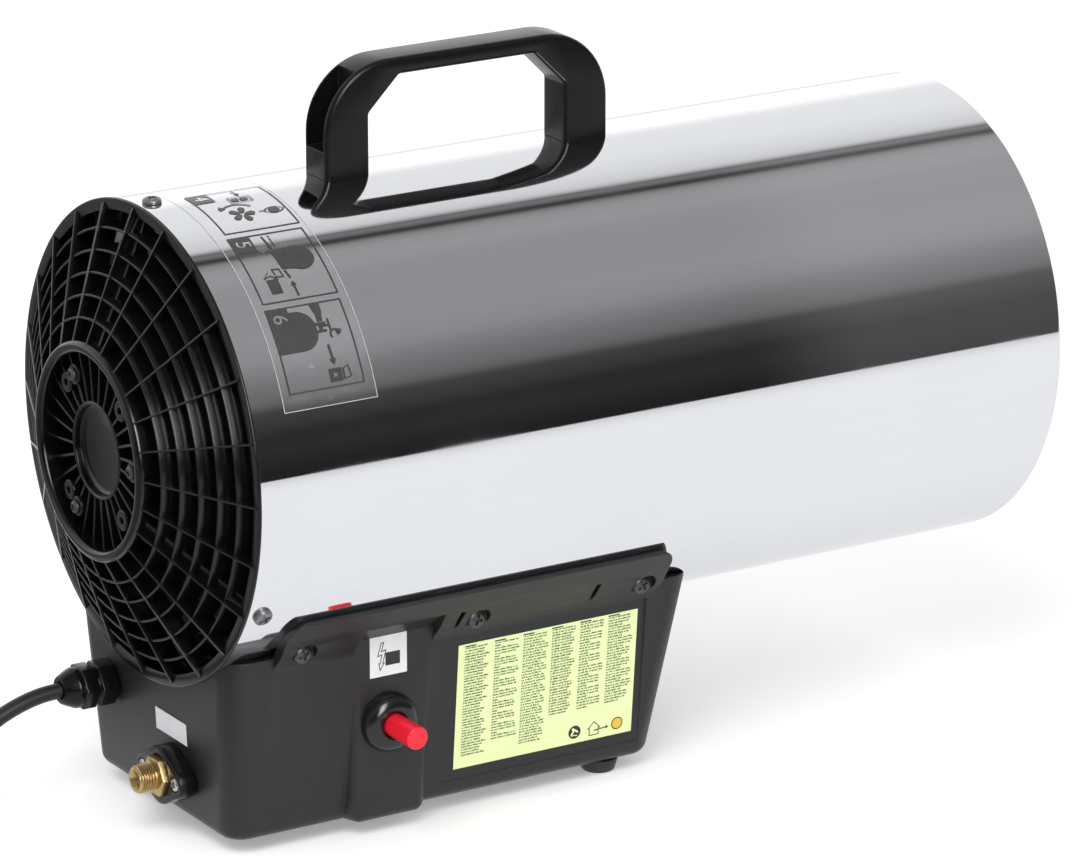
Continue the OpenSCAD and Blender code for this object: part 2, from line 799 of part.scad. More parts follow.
module burner_cup() color("#77736c")
    difference() {
        on_axis(cup_s()) rotate_extrude() polygon([
            [0, 0], [cup_base_r, 0], [cup_mouth_r, cup_l],
            [cup_mouth_r - sheet, cup_l], [cup_base_r - sheet, sheet], [0, sheet]]);
        on_axis(cup_s() - cut) cylinder(r = jet_r + 2 * seat, h = sheet + 2 * cut);
        for (i = [0:cup_hole_count - 1]) on_axis(cup_s() - cut)
            rotate(360 * (i + 0.5) / cup_hole_count) translate([cup_hole_ring_r, 0, 0])
                cylinder(r = cup_hole_r, h = sheet + 2 * cut);
        for (z = [-post_ring_z, post_ring_z]) on_axis(cup_s() - cut)
            translate([z, 0, 0])
                cylinder(r = small_shank_r + run_gap, h = sheet + 2 * cut);
    }

// Posts between the bracket and the cup, with riveted ends through both
module cup_posts() color("#8c8a86")
    for (z = [-post_ring_z, post_ring_z])
        translate([rear_x + bracket_s, 0, axis_h + z]) rotate([0, 90, 0]) {
            translate([0, 0, bracket_t + seat]) cylinder(r = post_r, h = cup_gap - 2 * seat);
            translate([0, 0, -sheet]) cylinder(r = small_shank_r,
                h = bracket_t + cup_gap + 3 * sheet);
            translate([0, 0, -sheet - seat]) cylinder(r = small_head_r, h = sheet);
            translate([0, 0, bracket_t + cup_gap + sheet + seat])
                cylinder(r = small_head_r, h = sheet);
        }

function holder_s() = bracket_s - seat - holder_hex_h;

module jet_holder() color("#c8a24a")
    on_axis(holder_s()) difference() {
        union() {
            hexagon(holder_hex_af, holder_hex_h);
            cylinder(r = holder_r, h = holder_hex_h + jet_nut_h + bracket_t + 3 * seat);
        }
        translate([0, 0, -cut]) cylinder(r = holder_bore_r, h = holder_l + 2 * cut);
    }

module jet_nut() color("#c8a24a")
    on_axis(bracket_s + bracket_t + seat) difference() {
        hexagon(holder_hex_af, jet_nut_h);
        translate([0, 0, -cut]) cylinder(r = holder_r + run_gap, h = jet_nut_h + 2 * cut);
    }

module gas_jet() color("#d4b25a")
    on_axis(bracket_s + bracket_t + jet_nut_h + 3 * seat) difference() {
        union() {
            cylinder(r = jet_r, h = jet_l);
            translate([0, 0, jet_l]) cylinder(r1 = jet_r, r2 = jet_r / 2, h = jet_r / 2);
        }
        translate([0, 0, -cut]) cylinder(r = jet_bore_r, h = 2 * jet_l);
    }

module gas_pipe() color("#b87333") tube_along([for (p = gas_pipe_route) place(p)], pipe_r, 12);

module inlet_pipe() color("#b87333")
    tube_along([for (p = inlet_pipe_route) place(p)], pipe_r, 12);

module tube_nut(af, bore, h)
    difference() {
        hexagon(af, h);
        translate([0, 0, -cut]) cylinder(r = bore, h = h + 2 * cut);
    }

// The nuts at both ends of the two gas pipes
module pipe_nuts() color("#c8a24a")
    for (route = [gas_pipe_route, inlet_pipe_route])
        for (p = [route[0] + [seat, 0, 0], route[len(route) - 1] - [pipe_nut_l + seat, 0, 0]])
            translate(place(p)) rotate([0, 90, 0])
                tube_nut(pipe_nut_af, pipe_r + seat, pipe_nut_l);

// Distance of the valve body's outer face from the middle plane
function valve_face_y() = bulge_face_y - spigot_l + spigot_seat_l;

module gas_valve_body() color("#c8a24a")
    difference() {
        union() {
            translate([rear_x + button_s - valve_w / 2, -valve_face_y(),
                       axis_h - button_drop - valve_h / 2])
                cube([valve_w, valve_l, valve_h]);
            translate(place([button_s + valve_w / 2 - cut, gas_pipe_route[0][1],
                             gas_pipe_route[0][2]]))
                rotate([0, 90, 0]) cylinder(r = port_r, h = port_l + cut + seat);
            translate(place([button_s - valve_w / 2 + cut,
                             inlet_pipe_route[len(inlet_pipe_route) - 1][1],
                             inlet_pipe_route[len(inlet_pipe_route) - 1][2]]))
                rotate([0, -90, 0]) cylinder(r = port_r, h = port_l + cut + seat);
        }
        facing_out(button_s, button_drop, valve_face_y() - spigot_seat_l - seat)
            cylinder(r = spigot_r + seat, h = spigot_seat_l + seat + cut);
        facing_out(button_s, button_drop, valve_face_y() - spring_pocket_l)
            cylinder(r = spring_pocket_r, h = spring_pocket_l + cut);
        facing_out(button_s, button_drop, valve_face_y() - valve_l - cut)
            cylinder(r = stem_r + run_gap, h = valve_l + 2 * cut);
    }

// The button's outer tip, its flange's outer face and the stem's inner end, as distances
// from the middle plane
function button_tip_y() = bulge_face_y + collar_h + button_reach;
function flange_y() = bulge_face_y - seat;

module push_button() color("#e6203a") {
    facing_out(button_s, button_drop, flange_y() - button_flange_t)
        cylinder(r = button_flange_r, h = button_flange_t);
    facing_out(button_s, button_drop, flange_y() - button_flange_t)
        cylinder(r = button_r, h = button_tip_y() - flange_y() + button_flange_t
                 - button_r / 5);
    facing_out(button_s, button_drop, button_tip_y() - button_r / 5)
        cylinder(r1 = button_r, r2 = button_r * 0.8, h = button_r / 5);
}

module valve_stem() color("silver")
    facing_out(button_s, button_drop, valve_face_y() - valve_l - seat)
        cylinder(r = stem_r, h = flange_y() - button_flange_t - valve_face_y() + valve_l);

module button_collar() color("#101012")
    facing_out(button_s, button_drop, bulge_face_y) difference() {
        union() {
            rotate_extrude() {
                square([collar_r, collar_h - collar_round]);
                square([collar_r - collar_round, collar_h]);
                translate([collar_r - collar_round, collar_h - collar_round])
                    intersection() {
                        circle(r = collar_round, $fn = 48);
                        square(collar_round);
                    }
            }
            translate([0, 0, -spigot_l]) cylinder(r = spigot_r, h = spigot_l + seat);
        }
        translate([0, 0, -spigot_l - cut])
            cylinder(r = button_r + run_gap, h = collar_h + spigot_l + 2 * cut);
        translate([0, 0, -spigot_l - cut])
            cylinder(r = button_flange_r + 2 * run_gap, h = spigot_l + cut);
    }

module collar_nut() color("dimgray")
    facing_out(button_s, button_drop, bulge_face_y - base_wall - collar_nut_h - seat)
        tube_nut(collar_nut_af, spigot_r + run_gap, collar_nut_h);

// Ring centres of the spring, from the button's flange to the bottom of its pocket
function spring_l() =
    flange_y() - button_flange_t - valve_face_y() + spring_pocket_l - 2 * spring_wire_r
    - 4 * seat;
spring_r = (stem_r + spring_pocket_r) / 2;
function spring_points() =
    [for (i = [0:spring_turns * spring_rings])
        let (share = i / (spring_turns * spring_rings), turn = 360 * i / spring_rings)
        [rear_x + button_s + spring_r * cos(turn),
         -flange_y() + button_flange_t + spring_wire_r + 2 * seat + share * spring_l(),
         axis_h - button_drop + spring_r * sin(turn)]];

module valve_spring() color("silver")
    tube_along(spring_points(), spring_wire_r, spring_sides);

function piezo_y() = valve_face_y() - valve_l - piezo_gap;

module piezo_igniter() color("#1a1a1a")
    facing_out(button_s, button_drop, piezo_y() - piezo_l) difference() {
        cylinder(r = piezo_r, h = piezo_l);
        translate([0, 0, piezo_l - piezo_plunger_in - button_travel])
            cylinder(r = piezo_plunger_r + run_gap,
                     h = piezo_plunger_in + button_travel + cut);
    }

module piezo_plunger() color("silver")
    facing_out(button_s, button_drop, piezo_y() - piezo_plunger_in + 2 * seat)
        cylinder(r = piezo_plunger_r, h = piezo_plunger_in + piezo_gap - 4 * seat);

module piezo_bracket() color("silver")
    difference() {
        union() {
            translate([rear_x + button_s - piezo_bracket_w / 2, piezo_bracket_y(),
                       bracket_foot_z()])
                cube([piezo_bracket_w, piezo_bracket_t,
                      axis_h - button_drop + piezo_bracket_w / 2 - bracket_foot_z()]);
            translate([rear_x + button_s - piezo_bracket_w / 2, piezo_bracket_y(),
                       bracket_foot_z()])
                cube([piezo_bracket_w, piezo_bracket_w, piezo_bracket_t]);
        }
        facing_out(button_s, button_drop, piezo_y() - piezo_l - cut)
            cylinder(r = piezo_r + seat, h = piezo_l + 2 * cut);
    }

function piezo_bracket_y() = -(piezo_y() - piezo_l / 2);
function bracket_foot_z() = base_floor_z + base_wall + seat;

module thermocouple() color("#b87333") {
    tube_along([for (p = capillary_route) place(p)], capillary_r, 8);
    spoke(probe_turn, capillary_route[len(capillary_route) - 1][0])
        translate([0, 0, probe_ring_r]) rotate([0, 90, 0])
            cylinder(r = probe_r, h = probe_l);
}

module electrode_insulator() color("ivory")
    spoke(spark_turn, bracket_s + bracket_t - insulator_l / 2 + seat)
        translate([0, 0, probe_ring_r]) rotate([0, 90, 0]) difference() {
            cylinder(r = insulator_r, h = insulator_l);
            translate([0, 0, -cut])
                cylinder(r = spark_wire_r + run_gap, h = insulator_l + 2 * cut);
        }

module spark_electrode() color("silver")
    spoke(spark_turn, bracket_s + bracket_t - insulator_l / 2 + seat)
        translate([0, 0, probe_ring_r]) {
            rotate([0, 90, 0]) cylinder(r = spark_wire_r, h = insulator_l + cup_l / 2);
            translate([insulator_l + cup_l / 2, 0, -spark_tip_l])
                cylinder(r = spark_wire_r, h = spark_tip_l);
            translate([insulator_l + cup_l / 2, 0, 0]) sphere(r = spark_wire_r);
        }

module ignition_lead() color("#7a1f1f")
    tube_along([for (p = spark_lead_route) place(p)], wire_r, 8);

module wiring() color("#2b2b2b") {
    tube_along([for (p = motor_lead_route) place(p)], wire_r, 8);
    tube_along([for (p = mains_core_route) place(p)], lead_r - wire_r / 2, 8);
    tube_along([for (p = cutout_lead_route) place(p)], wire_r, 8);
}

module overheat_cutout() color("#d8d2c4")
    translate([rear_x + cutout_s, 0, axis_h - barrel_r - seat]) {
        translate([0, 0, -cutout_h]) cylinder(r = cutout_r, h = cutout_h);
        translate([-cutout_tab[0] / 2, -cutout_tab[1] / 2, -cutout_tab[2]]) cube(cutout_tab);
    }

module terminal_block() color("whitesmoke")
    translate([rear_x + block_s, block_y, base_floor_z + base_wall + seat]) difference() {
        cube(block_size);
        for (i = [0:2]) translate([block_size[0] * (i + 0.5) / 3, block_size[1] * 0.22,
                                   block_size[2] / 2])
            cylinder(r = block_cell_r, h = block_size[2]);
    }

module grommets() color("#202020") {
    grommet(pipe_hole, pipe_hole_r, pipe_r);
    grommet(probe_hole, wire_hole_r, capillary_r);
    grommet(spark_hole, wire_hole_r, wire_r);
    grommet(motor_hole, wire_hole_r, wire_r);
}

// A rubber ring whose lips lie on both sides of the barrel's sheet
module grommet(hole, hole_r, bore)
    intersection() {
        translate([rear_x + hole[0], hole[1], axis_h - barrel_r - grommet_t])
            difference() {
                cylinder(r = hole_r + grommet_lip, h = barrel_r / 4);
                translate([0, 0, -cut])
                    cylinder(r = bore + 6 * seat, h = barrel_r / 2);
            }
        on_axis(hole[0] - 2 * pipe_hole_r) union() {
            tube(barrel_in_r - seat, barrel_in_r - grommet_t, 4 * pipe_hole_r);
            tube(barrel_r + grommet_t, barrel_r + seat, 4 * pipe_hole_r);
            intersection() {
                tube(barrel_r + grommet_t, barrel_in_r - grommet_t, 4 * pipe_hole_r);
                translate([barrel_r + cut, hole[1], 2 * pipe_hole_r]) rotate([0, -90, 0])
                    cylinder(r = hole_r - seat, h = barrel_r / 4);
            }
        }
    }

module base_shell() color("#3b3b3d")
    difference() {
        union() {
            difference() {
                union() {
                    base_block(0, rim_z);
                    bulge(0);
                }
                base_block(base_wall, rim_z - rim_t);
                bulge(base_wall);
            }
            for (side = [-1, 1]) flange_band(side);
            for (p = foot_places())
                translate([p[0], p[1], base_floor_z + base_wall / 2])
                    cylinder(r = foot_boss_r, h = foot_boss_h);
        }
        on_axis(-barrel_l / 4) cylinder(r = barrel_r + saddle_gap, h = 2 * barrel_l);
        for (s = pocket_places, side = [-1, 1]) screw_pocket(s, side);
        for (s = rib_notch_s, side = [-1, 1]) rib_notch(s, side);
        for (p = foot_places())
            translate([p[0], p[1], base_floor_z - cut])
                cylinder(r = shank_r + run_gap, h = foot_boss_h + base_wall);
        facing_out(button_s, button_drop, bulge_face_y - 2 * base_wall)
            cylinder(r = spigot_r + run_gap, h = 4 * base_wall);
        facing_back(base_rear_s + 2 * base_wall, inlet_y, inlet_drop)
            cylinder(r = nipple_neck_r + run_gap, h = 5 * base_wall);
        for (y = [-inlet_eye_y, inlet_eye_y])
            facing_back(base_rear_s + 2 * base_wall, inlet_y + y, inlet_drop)
                cylinder(r = small_shank_r + run_gap, h = 5 * base_wall);
        facing_back(base_rear_s + 2 * base_wall, gland_y, gland_drop)
            cylinder(r = gland_tail_r + run_gap, h = 5 * base_wall);
        for (side = [-1, 1]) label_panel(side);
        bulge_scoop();
    }

// The base's outer form, drawn in by an inset and closed at a top height
module base_block(inset, top) {
    corner = base_corner_r - inset;
    edge = base_edge_r - inset;
    low_z = base_floor_z + inset;
    span = top - low_z;
    full = rim_z - base_floor_z;
    rear_low = base_rear_s + inset;
    front_low = base_rear_s + base_l - inset;
    rear_top = rear_low - base_rear_lean * span / full;
    front_top = front_low + base_front_lean * span / full;
    half_low = base_w / 2 - inset;
    half_top = base_half_w(top) - inset;
    hull() {
        for (s = [rear_low + corner, front_low - corner], side = [-1, 1])
            translate([rear_x + s, side * (half_low - corner), low_z + edge])
                rotate_extrude($fn = 40) translate([corner - edge, 0])
                    circle(r = edge, $fn = 24);
        for (s = [rear_top + corner, front_top - corner], side = [-1, 1])
            translate([rear_x + s, side * (half_top - corner), top - edge / 4])
                cylinder(r = corner, h = edge / 4, $fn = 40);
    }
}

// The bulge on the control side, whose front edge leans with the front wall
module bulge(inset) {
    edge = bulge_edge_r - inset;
    low_z = base_floor_z + inset + edge;
    top_z = axis_h - bulge_top_drop - inset;
    face = bulge_face_y - inset - edge;
    hull() {
        for (end = [0, 1]) {
            z = end == 0 ? low_z : top_z;
            from = bulge_from_s + inset + edge;
            to = bulge_to_s - inset - edge + bulge_lean * end;
            for (s = [from, to]) translate([rear_x + s, -face, z])
                sphere(r = edge, $fn = 24);
            for (s = [from - bulge_side_slope, to + bulge_side_slope / 2])
                translate([rear_x + s, -face + 2 * bulge_edge_r, z])
                    sphere(r = edge, $fn = 24);
        }
    }
}

// Hollow under the flange that lets the bulge's face run up to the lip
module bulge_scoop()
    translate([rear_x + bulge_from_s, 0, axis_h]) rotate([90, 0, 90])
        linear_extrude(bulge_to_s - bulge_from_s + bulge_lean / 2) polygon([
            [-bulge_face_y, -button_label_drop], [-scoop_out_y, -scoop_drop],
            [-barrel_r, -scoop_drop], [-barrel_r, -band_root_drop - cut],
            [-bulge_face_y, -band_root_drop - cut]]);

// A band along one side of the base that leans out and lies on the barrel
module flange_band(side) {
    root_y = base_half_w(axis_h - band_root_drop) + band_root_out;
    lip_y = barrel_half_w(band_lip_drop, barrel_r + saddle_gap);
    mid_drop = (band_root_drop + pocket_drop) / 2;
    translate([rear_x, 0, axis_h]) intersection() {
        translate([band_from_s, 0, 0]) rotate([90, 0, 90])
            linear_extrude(band_to_s - band_from_s) polygon([
                [side * (root_y - 2 * base_wall), -band_root_drop],
                [side * root_y, -band_root_drop],
                [side * (root_y + band_lip_t * 0.7), -mid_drop],
                [side * (pocket_floor_y + band_lip_t), -pocket_drop],
                [side * (lip_y + band_lip_t), -band_lip_drop - band_lip_t / 2],
                [side * (lip_y + band_lip_t * 0.8), -band_lip_drop],
                [side * (lip_y - band_lip_t), -band_lip_drop]]);
        rotate([90, 0, 0]) linear_extrude(2.5 * barrel_r, center = true) band_outline();
    }
}

// Side view of a flange band: rounded upper corners
module band_outline() {
    h = band_root_drop - band_lip_drop;
    translate([band_from_s, -band_root_drop - cut])
        square([band_to_s - band_from_s, h - band_corner_r + cut]);
    translate([band_from_s + band_corner_r, -band_root_drop])
        square([band_to_s - band_from_s - 2 * band_corner_r, h + cut]);
    for (s = [band_from_s + band_corner_r, band_to_s - band_corner_r])
        translate([s, -band_lip_drop - band_corner_r]) circle(r = band_corner_r);
}

// A pocket in the flange with an upright floor, round above and open below
module screw_pocket(s, side)
    translate([rear_x + s, side * pocket_floor_y, axis_h - pocket_drop]) {
        rotate([-90 * side, 0, 0]) cylinder(r = pocket_r, h = base_flare);
        translate([-pocket_r, side > 0 ? 0 : -base_flare, -2 * pocket_r])
            cube([2 * pocket_r, base_flare, 2 * pocket_r]);
        rotate([90 * side, 0, 0]) translate([0, 0, -cut])
            cylinder(r = shank_r + run_gap, h = base_flare);
    }

// A narrow notch across the flange's foot
module rib_notch(s, side)
    translate([rear_x + s, side * pocket_floor_y, axis_h - pocket_drop])
        rotate([0, rib_notch_lean, 0])
            translate([0, side > 0 ? 0 : -base_flare, -1.2 * pocket_r])
                cube([rib_notch_w, base_flare, 2.4 * pocket_r]);

// A shallow panel for the label, cut along the drafted wall
module label_panel(side) {
    mid_drop = (panel_drop[0] + panel_drop[1]) / 2;
    lean = atan(base_flare / 2 / (rim_z - base_floor_z));
    translate([rear_x + panel_s[0], side * (base_half_w(axis_h - mid_drop) - panel_depth),
               axis_h - mid_drop])
        rotate([-side * lean, 0, 0])
            translate([0, side > 0 ? 0 : -base_flare, -(panel_drop[1] - panel_drop[0]) / 2])
                cube([panel_s[1] - panel_s[0], base_flare, panel_drop[1] - panel_drop[0]]);
}

module base_screws() color("dimgray")
    for (s = pocket_places, side = [-1, 1])
        translate([rear_x + s, side * (pocket_floor_y + seat), axis_h - pocket_drop])
            rotate([-90 * side, 0, 0])
                pan_screw(shank_r, head_r, head_h, pocket_floor_y - base_half_w(rim_z) / 1.15);

// Middles of the four feet, the rear pair closer together
function foot_places() =
    [for (k = [0, 1], side = [-1, 1]) [rear_x + foot_s[k], side * foot_y[k]]];

module rubber_feet() color("#161616")
    for (p = foot_places()) translate([p[0], p[1], 0])
        difference() {
            rotate_extrude() polygon([
                [0, 0], [foot_low_r, 0], [foot_low_r + foot_h / 8, foot_h / 8],
                [foot_r, foot_h - seat], [0, foot_h - seat]]);
            translate([0, 0, -cut]) cylinder(r = shank_r + run_gap, h = foot_h + 2 * cut);
            translate([0, 0, -cut]) cylinder(r = head_r + 2 * seat, h = foot_recess + cut);
        }

module foot_screws() color("dimgray")
    for (p = foot_places())
        translate([p[0], p[1], foot_recess - seat]) rotate([180, 0, 0])
            pan_screw(shank_r, head_r, head_h, foot_h - foot_recess + foot_boss_h / 2);

function handle_screw_places() =
    [handle_rear_s + handle_leg / 2, handle_rear_s + handle_l - handle_leg / 2];

module handle() color("#232325")
    difference() {
        translate([rear_x + handle_rear_s, 0, axis_h]) rotate([90, 0, 0])
            linear_extrude(handle_w, center = true) difference() {
                handle_outline();
                handle_opening();
            }
        on_axis(0) cylinder(r = barrel_r + saddle_gap, h = barrel_l);
        for (s = handle_screw_places()) translate([rear_x + s, 0, axis_h])
            cylinder(r = shank_r + run_gap, h = barrel_r + handle_screw_l);
        for (end = [0, 1]) translate([rear_x + handle_rear_s + end * handle_l, 0, axis_h])
            mirror([end, 0, 0]) handle_channel();
    }

// The handle's outer form from the side, with rounded upper corners
module handle_outline() {
    top = barrel_r + handle_h;
    translate([0, barrel_r / 2]) square([handle_l, top - handle_corner_r - barrel_r / 2]);
    translate([handle_corner_r, barrel_r / 2])
        square([handle_l - 2 * handle_corner_r, top - barrel_r / 2]);
    for (s = [handle_corner_r, handle_l - handle_corner_r])
        translate([s, top - handle_corner_r]) circle(r = handle_corner_r);
}

// The hand opening, with its upper corners cut off
module handle_opening() {
    top = barrel_r + handle_h - handle_bar;
    polygon([
        [handle_leg, barrel_r / 4], [handle_leg, top - handle_chamfer],
        [handle_leg + handle_chamfer, top], [handle_l - handle_leg - handle_chamfer, top],
        [handle_l - handle_leg, top - handle_chamfer], [handle_l - handle_leg, barrel_r / 4]]);
}

// One side of a bend's channel: a quarter round that runs on down the leg
module channel_side(r) {
    circle(r = r);
    translate([-r, -handle_corner_r]) square([r, handle_corner_r]);
}

// The open channel in the outer side of one of the handle's bends
module handle_channel() {
    w = handle_w - 2 * handle_pocket_wall;
    centre_z = barrel_r + handle_h - handle_corner_r;
    translate([handle_corner_r, 0, centre_z]) rotate([90, 0, 0])
        linear_extrude(w, center = true) intersection() {
            difference() {
                channel_side(handle_corner_r + cut);
                channel_side(handle_corner_r - handle_pocket_depth);
            }
            translate([-handle_corner_r - cut, -handle_pocket_drop])
                square([handle_pocket_l, 2 * handle_corner_r]);
        }
}

module handle_screws() color("dimgray")
    for (s = handle_screw_places())
        translate([rear_x + s, 0, axis_h + barrel_in_r - head_r / 20 - 2 * seat])
            rotate([180, 0, 0]) pan_screw(shank_r, head_r, head_h, handle_screw_l / 1.2);

module inlet_flange() color("#1a1a1c")
    facing_back(inlet_face_s(), inlet_y, inlet_drop) difference() {
        union() {
            cylinder(r = inlet_plate[1] / 2, h = inlet_plate[2]);
            for (side = [-1, 1]) {
                translate([0, side * inlet_web_y(), 0])
                    cylinder(r = inlet_plate_eye_r, h = inlet_plate[2]);
                linear_extrude(inlet_plate[2]) inlet_web(side);
            }
        }
        translate([0, 0, -cut]) cylinder(r = nipple_neck_r + run_gap, h = 3 * inlet_plate[2]);
        translate([0, 0, inlet_plate[2] - nipple_hex_h / 2])
            cylinder(r = nipple_hex_af / sqrt(3) + 2 * seat, h = nipple_hex_h);
        for (y = [-inlet_eye_y, inlet_eye_y]) translate([0, y, -cut])
            cylinder(r = small_shank_r + run_gap, h = 3 * inlet_plate[2]);
        for (y = [-inlet_eye_y, inlet_eye_y]) translate([0, y, inlet_plate[2] - small_head_h])
            cylinder(r = small_head_r + 4 * seat, h = inlet_plate[2]);
    }

function inlet_face_s() =
    rear_face_s(axis_h - inlet_drop + inlet_plate[1] / 2) - seat;
function inlet_web_y() = inlet_plate[0] / 2 - inlet_plate_eye_r;

// Web between the plate's round middle and one of its ears, just inside their tangents
module inlet_web(side) {
    tilt = acos((inlet_plate[1] / 2 - inlet_plate_eye_r) / inlet_web_y());
    web = 0.97 * sin(tilt);
    eye_y = inlet_web_y() + inlet_plate_eye_r * cos(tilt);
    polygon([
        [0, 0],
        [inlet_plate[1] / 2 * web, side * inlet_plate[1] / 2 * cos(tilt)],
        [inlet_plate_eye_r * web, side * eye_y], [-inlet_plate_eye_r * web, side * eye_y],
        [-inlet_plate[1] / 2 * web, side * inlet_plate[1] / 2 * cos(tilt)]]);
}

module inlet_nipple() color("#c8a24a")
    facing_back(inlet_face_s(), inlet_y, inlet_drop) difference() {
        hex_z = inlet_plate[2] - nipple_hex_h / 2 + seat;
        union() {
            translate([0, 0, hex_z]) hexagon(nipple_hex_af, nipple_hex_h);
            translate([0, 0, hex_z]) cylinder(r = thread_r, h = nipple_hex_h + thread_l);
            translate([0, 0, -nipple_tail_l]) cylinder(r = nipple_neck_r,
                                                       h = nipple_tail_l + hex_z + seat);
        }
        translate([0, 0, -nipple_tail_l - cut])
            cylinder(r = nipple_bore_r, h = nipple_tail_l + 3 * thread_l + cut);
        translate([0, 0, hex_z + nipple_hex_h + thread_l - nipple_cone_l])
            cylinder(r1 = nipple_bore_r, r2 = nipple_cone_r, h = nipple_cone_l + seat);
    }

module inlet_screws() color("silver")
    for (y = [-inlet_eye_y, inlet_eye_y])
        facing_back(inlet_face_s(), inlet_y + y, inlet_drop)
        translate([0, 0, inlet_plate[2] - small_head_h + seat])
            pan_screw(small_shank_r, small_head_r, small_head_h,
                      inlet_plate[2] + 2 * base_wall);

// Places of the gland's seat on the wall's outer face and of its nut on the inner face
function gland_face_s() =
    rear_face_s(axis_h - gland_drop + gland_body_af / sqrt(3)) - seat;
function gland_inner_s() =
    rear_face_s(axis_h - gland_drop - gland_body_af / sqrt(3)) + base_wall + 6 * seat;
gland_mouth_r = lead_r + gland_mouth_gap;

module cable_gland_body() color("#0e0e10")
    facing_back(gland_face_s(), gland_y, gland_drop) difference() {
        union() {
            hexagon(gland_body_af, gland_body_l);
            translate([0, 0, -gland_tail_l]) cylinder(r = gland_tail_r, h = gland_tail_l + cut);
        }
        translate([0, 0, -gland_tail_l - cut])
            cylinder(r = gland_mouth_r, h = gland_tail_l + gland_body_l + 2 * cut);
    }

module cable_gland_nut() color("#0e0e10")
    facing_back(gland_face_s() - gland_body_l - seat, gland_y, gland_drop)
        difference() {
            intersection() {
                hexagon(gland_body_af, gland_nut_l);
                union() {
                    cylinder(r = gland_body_af, h = gland_nut_l * 0.45);
                    translate([0, 0, gland_nut_l * 0.45]) scale_dome();
                }
            }
            translate([0, 0, -cut]) cylinder(r = gland_mouth_r, h = gland_nut_l + 2 * cut);
        }

// The domed end of the gland's nut
module scale_dome() {
    dome_l = gland_nut_l * 0.55;
    rotate_extrude() polygon(concat(
        [[0, 0]],
        [for (a = [0:15:90]) [gland_mouth_r + (gland_nut_r + 1 - gland_mouth_r) * cos(a),
                              dome_l * sin(a)]],
        [[0, dome_l]]));
}

module gland_locknut() color("#0e0e10")
    facing_back(gland_inner_s() + locknut_h, gland_y, gland_drop)
        tube_nut(gland_body_af, gland_tail_r + run_gap, locknut_h);

module mains_lead() color("#1b1b1d") tube_along(lead_route, lead_r, lead_sides);

// Centre line of the coil: inwards in the upper layer, then outwards on the floor
coil_pitch = lead_d + lead_gap;
coil_turns = 2 * coil_in_turns + 0.5;
function coil_inward(t) = coil_in_turns + 0.25 - abs(t - coil_in_turns - 0.25);
function coil_height(t) =
    lead_r + (lead_d + lead_gap)
    * (1 - max(0, min(1, (t - coil_in_turns) / 0.5)));
function coil_point(t) =
    let (r = coil_r - coil_pitch * coil_inward(t), turn = -90 - 360 * t)
    [coil_centre[0] + r * cos(turn), coil_centre[1] + r * sin(turn), coil_height(t)];
coil_path = [for (i = [0:coil_turns * coil_rings]) coil_point(i / coil_rings)];

// Least gap between stretches of the coil a quarter turn or more apart
coil_least_gap = min([for (i = [0:len(coil_path) - 1])
    for (j = [i + coil_rings / 4:1:len(coil_path) - 1])
        norm(coil_path[i] - coil_path[j]) - lead_d]);
echo(coil_least_gap_mm = coil_least_gap);

module mains_lead_coil() color("#1b1b1d") tube_along(coil_path, lead_r, coil_sides);

module mains_lead_tail() color("#1b1b1d") tube_along(tail_route, lead_r, lead_sides);

module plug_body() color("#141416") {
    translate(plug_start) rotate([0, 90, 0]) rotate_extrude() polygon([
        [0, 0], [plug_neck_r, 0], [plug_neck_r + 1, plug_neck_l],
        [plug_r - plug_round, plug_neck_l + plug_round / 2],
        [plug_r, plug_neck_l + plug_round * 1.5], [plug_r, plug_neck_l + plug_l],
        [0, plug_neck_l + plug_l]]);
}

module plug_pins() color("silver") {
    for (y = [-pin_y, pin_y])
        translate(plug_start + [plug_neck_l + plug_l + seat, y, 0]) rotate([0, 90, 0]) {
            cylinder(r = pin_r, h = pin_l - pin_r);
            translate([0, 0, pin_l - pin_r]) sphere(r = pin_r);
        }
}

module step_sticker() color([0.9, 0.9, 0.9, 0.5])
    translate([rear_x + sticker_s[0], 0, axis_h]) rotate([0, 90, 0])
        rotate(-90 - sticker_turns[1])
            rotate_extrude(angle = sticker_turns[1] - sticker_turns[0])
                translate([barrel_r + seat, 0])
                    square([label_t, sticker_s[1] - sticker_s[0]]);

module panel_label() color("#e1faa0") {
    mid_drop = panel_label_drop + panel_label_size[1] / 2;
    lean = atan(base_flare / 2 / (rim_z - base_floor_z));
    translate([rear_x + panel_label_s,
               -base_half_w(axis_h - mid_drop) + panel_depth - seat / 2,
               axis_h - mid_drop])
        rotate([lean, 0, 0])
            translate([0, -label_t, -panel_label_size[1] / 2])
                cube([panel_label_size[0], label_t, panel_label_size[1]]);
}

module button_label() color("white")
    translate([rear_x + button_label_s - button_label_w / 2, -bulge_face_y - seat - label_t,
               axis_h - button_label_drop - button_label_w])
        cube([button_label_w, label_t, button_label_w]);

module inlet_label() color("#d9d9d6") {
    lean = atan(base_rear_lean / (rim_z - base_floor_z));
    mid_drop = inlet_label_drop + inlet_label_size[1] / 2;
    translate([rear_x + rear_face_s(axis_h - mid_drop) - seat, inlet_label_y[1], axis_h - mid_drop])
        rotate([0, -lean, 0]) translate([-label_t, 0, -inlet_label_size[1] / 2])
            cube([label_t, inlet_label_size[0], inlet_label_size[1]]);
}

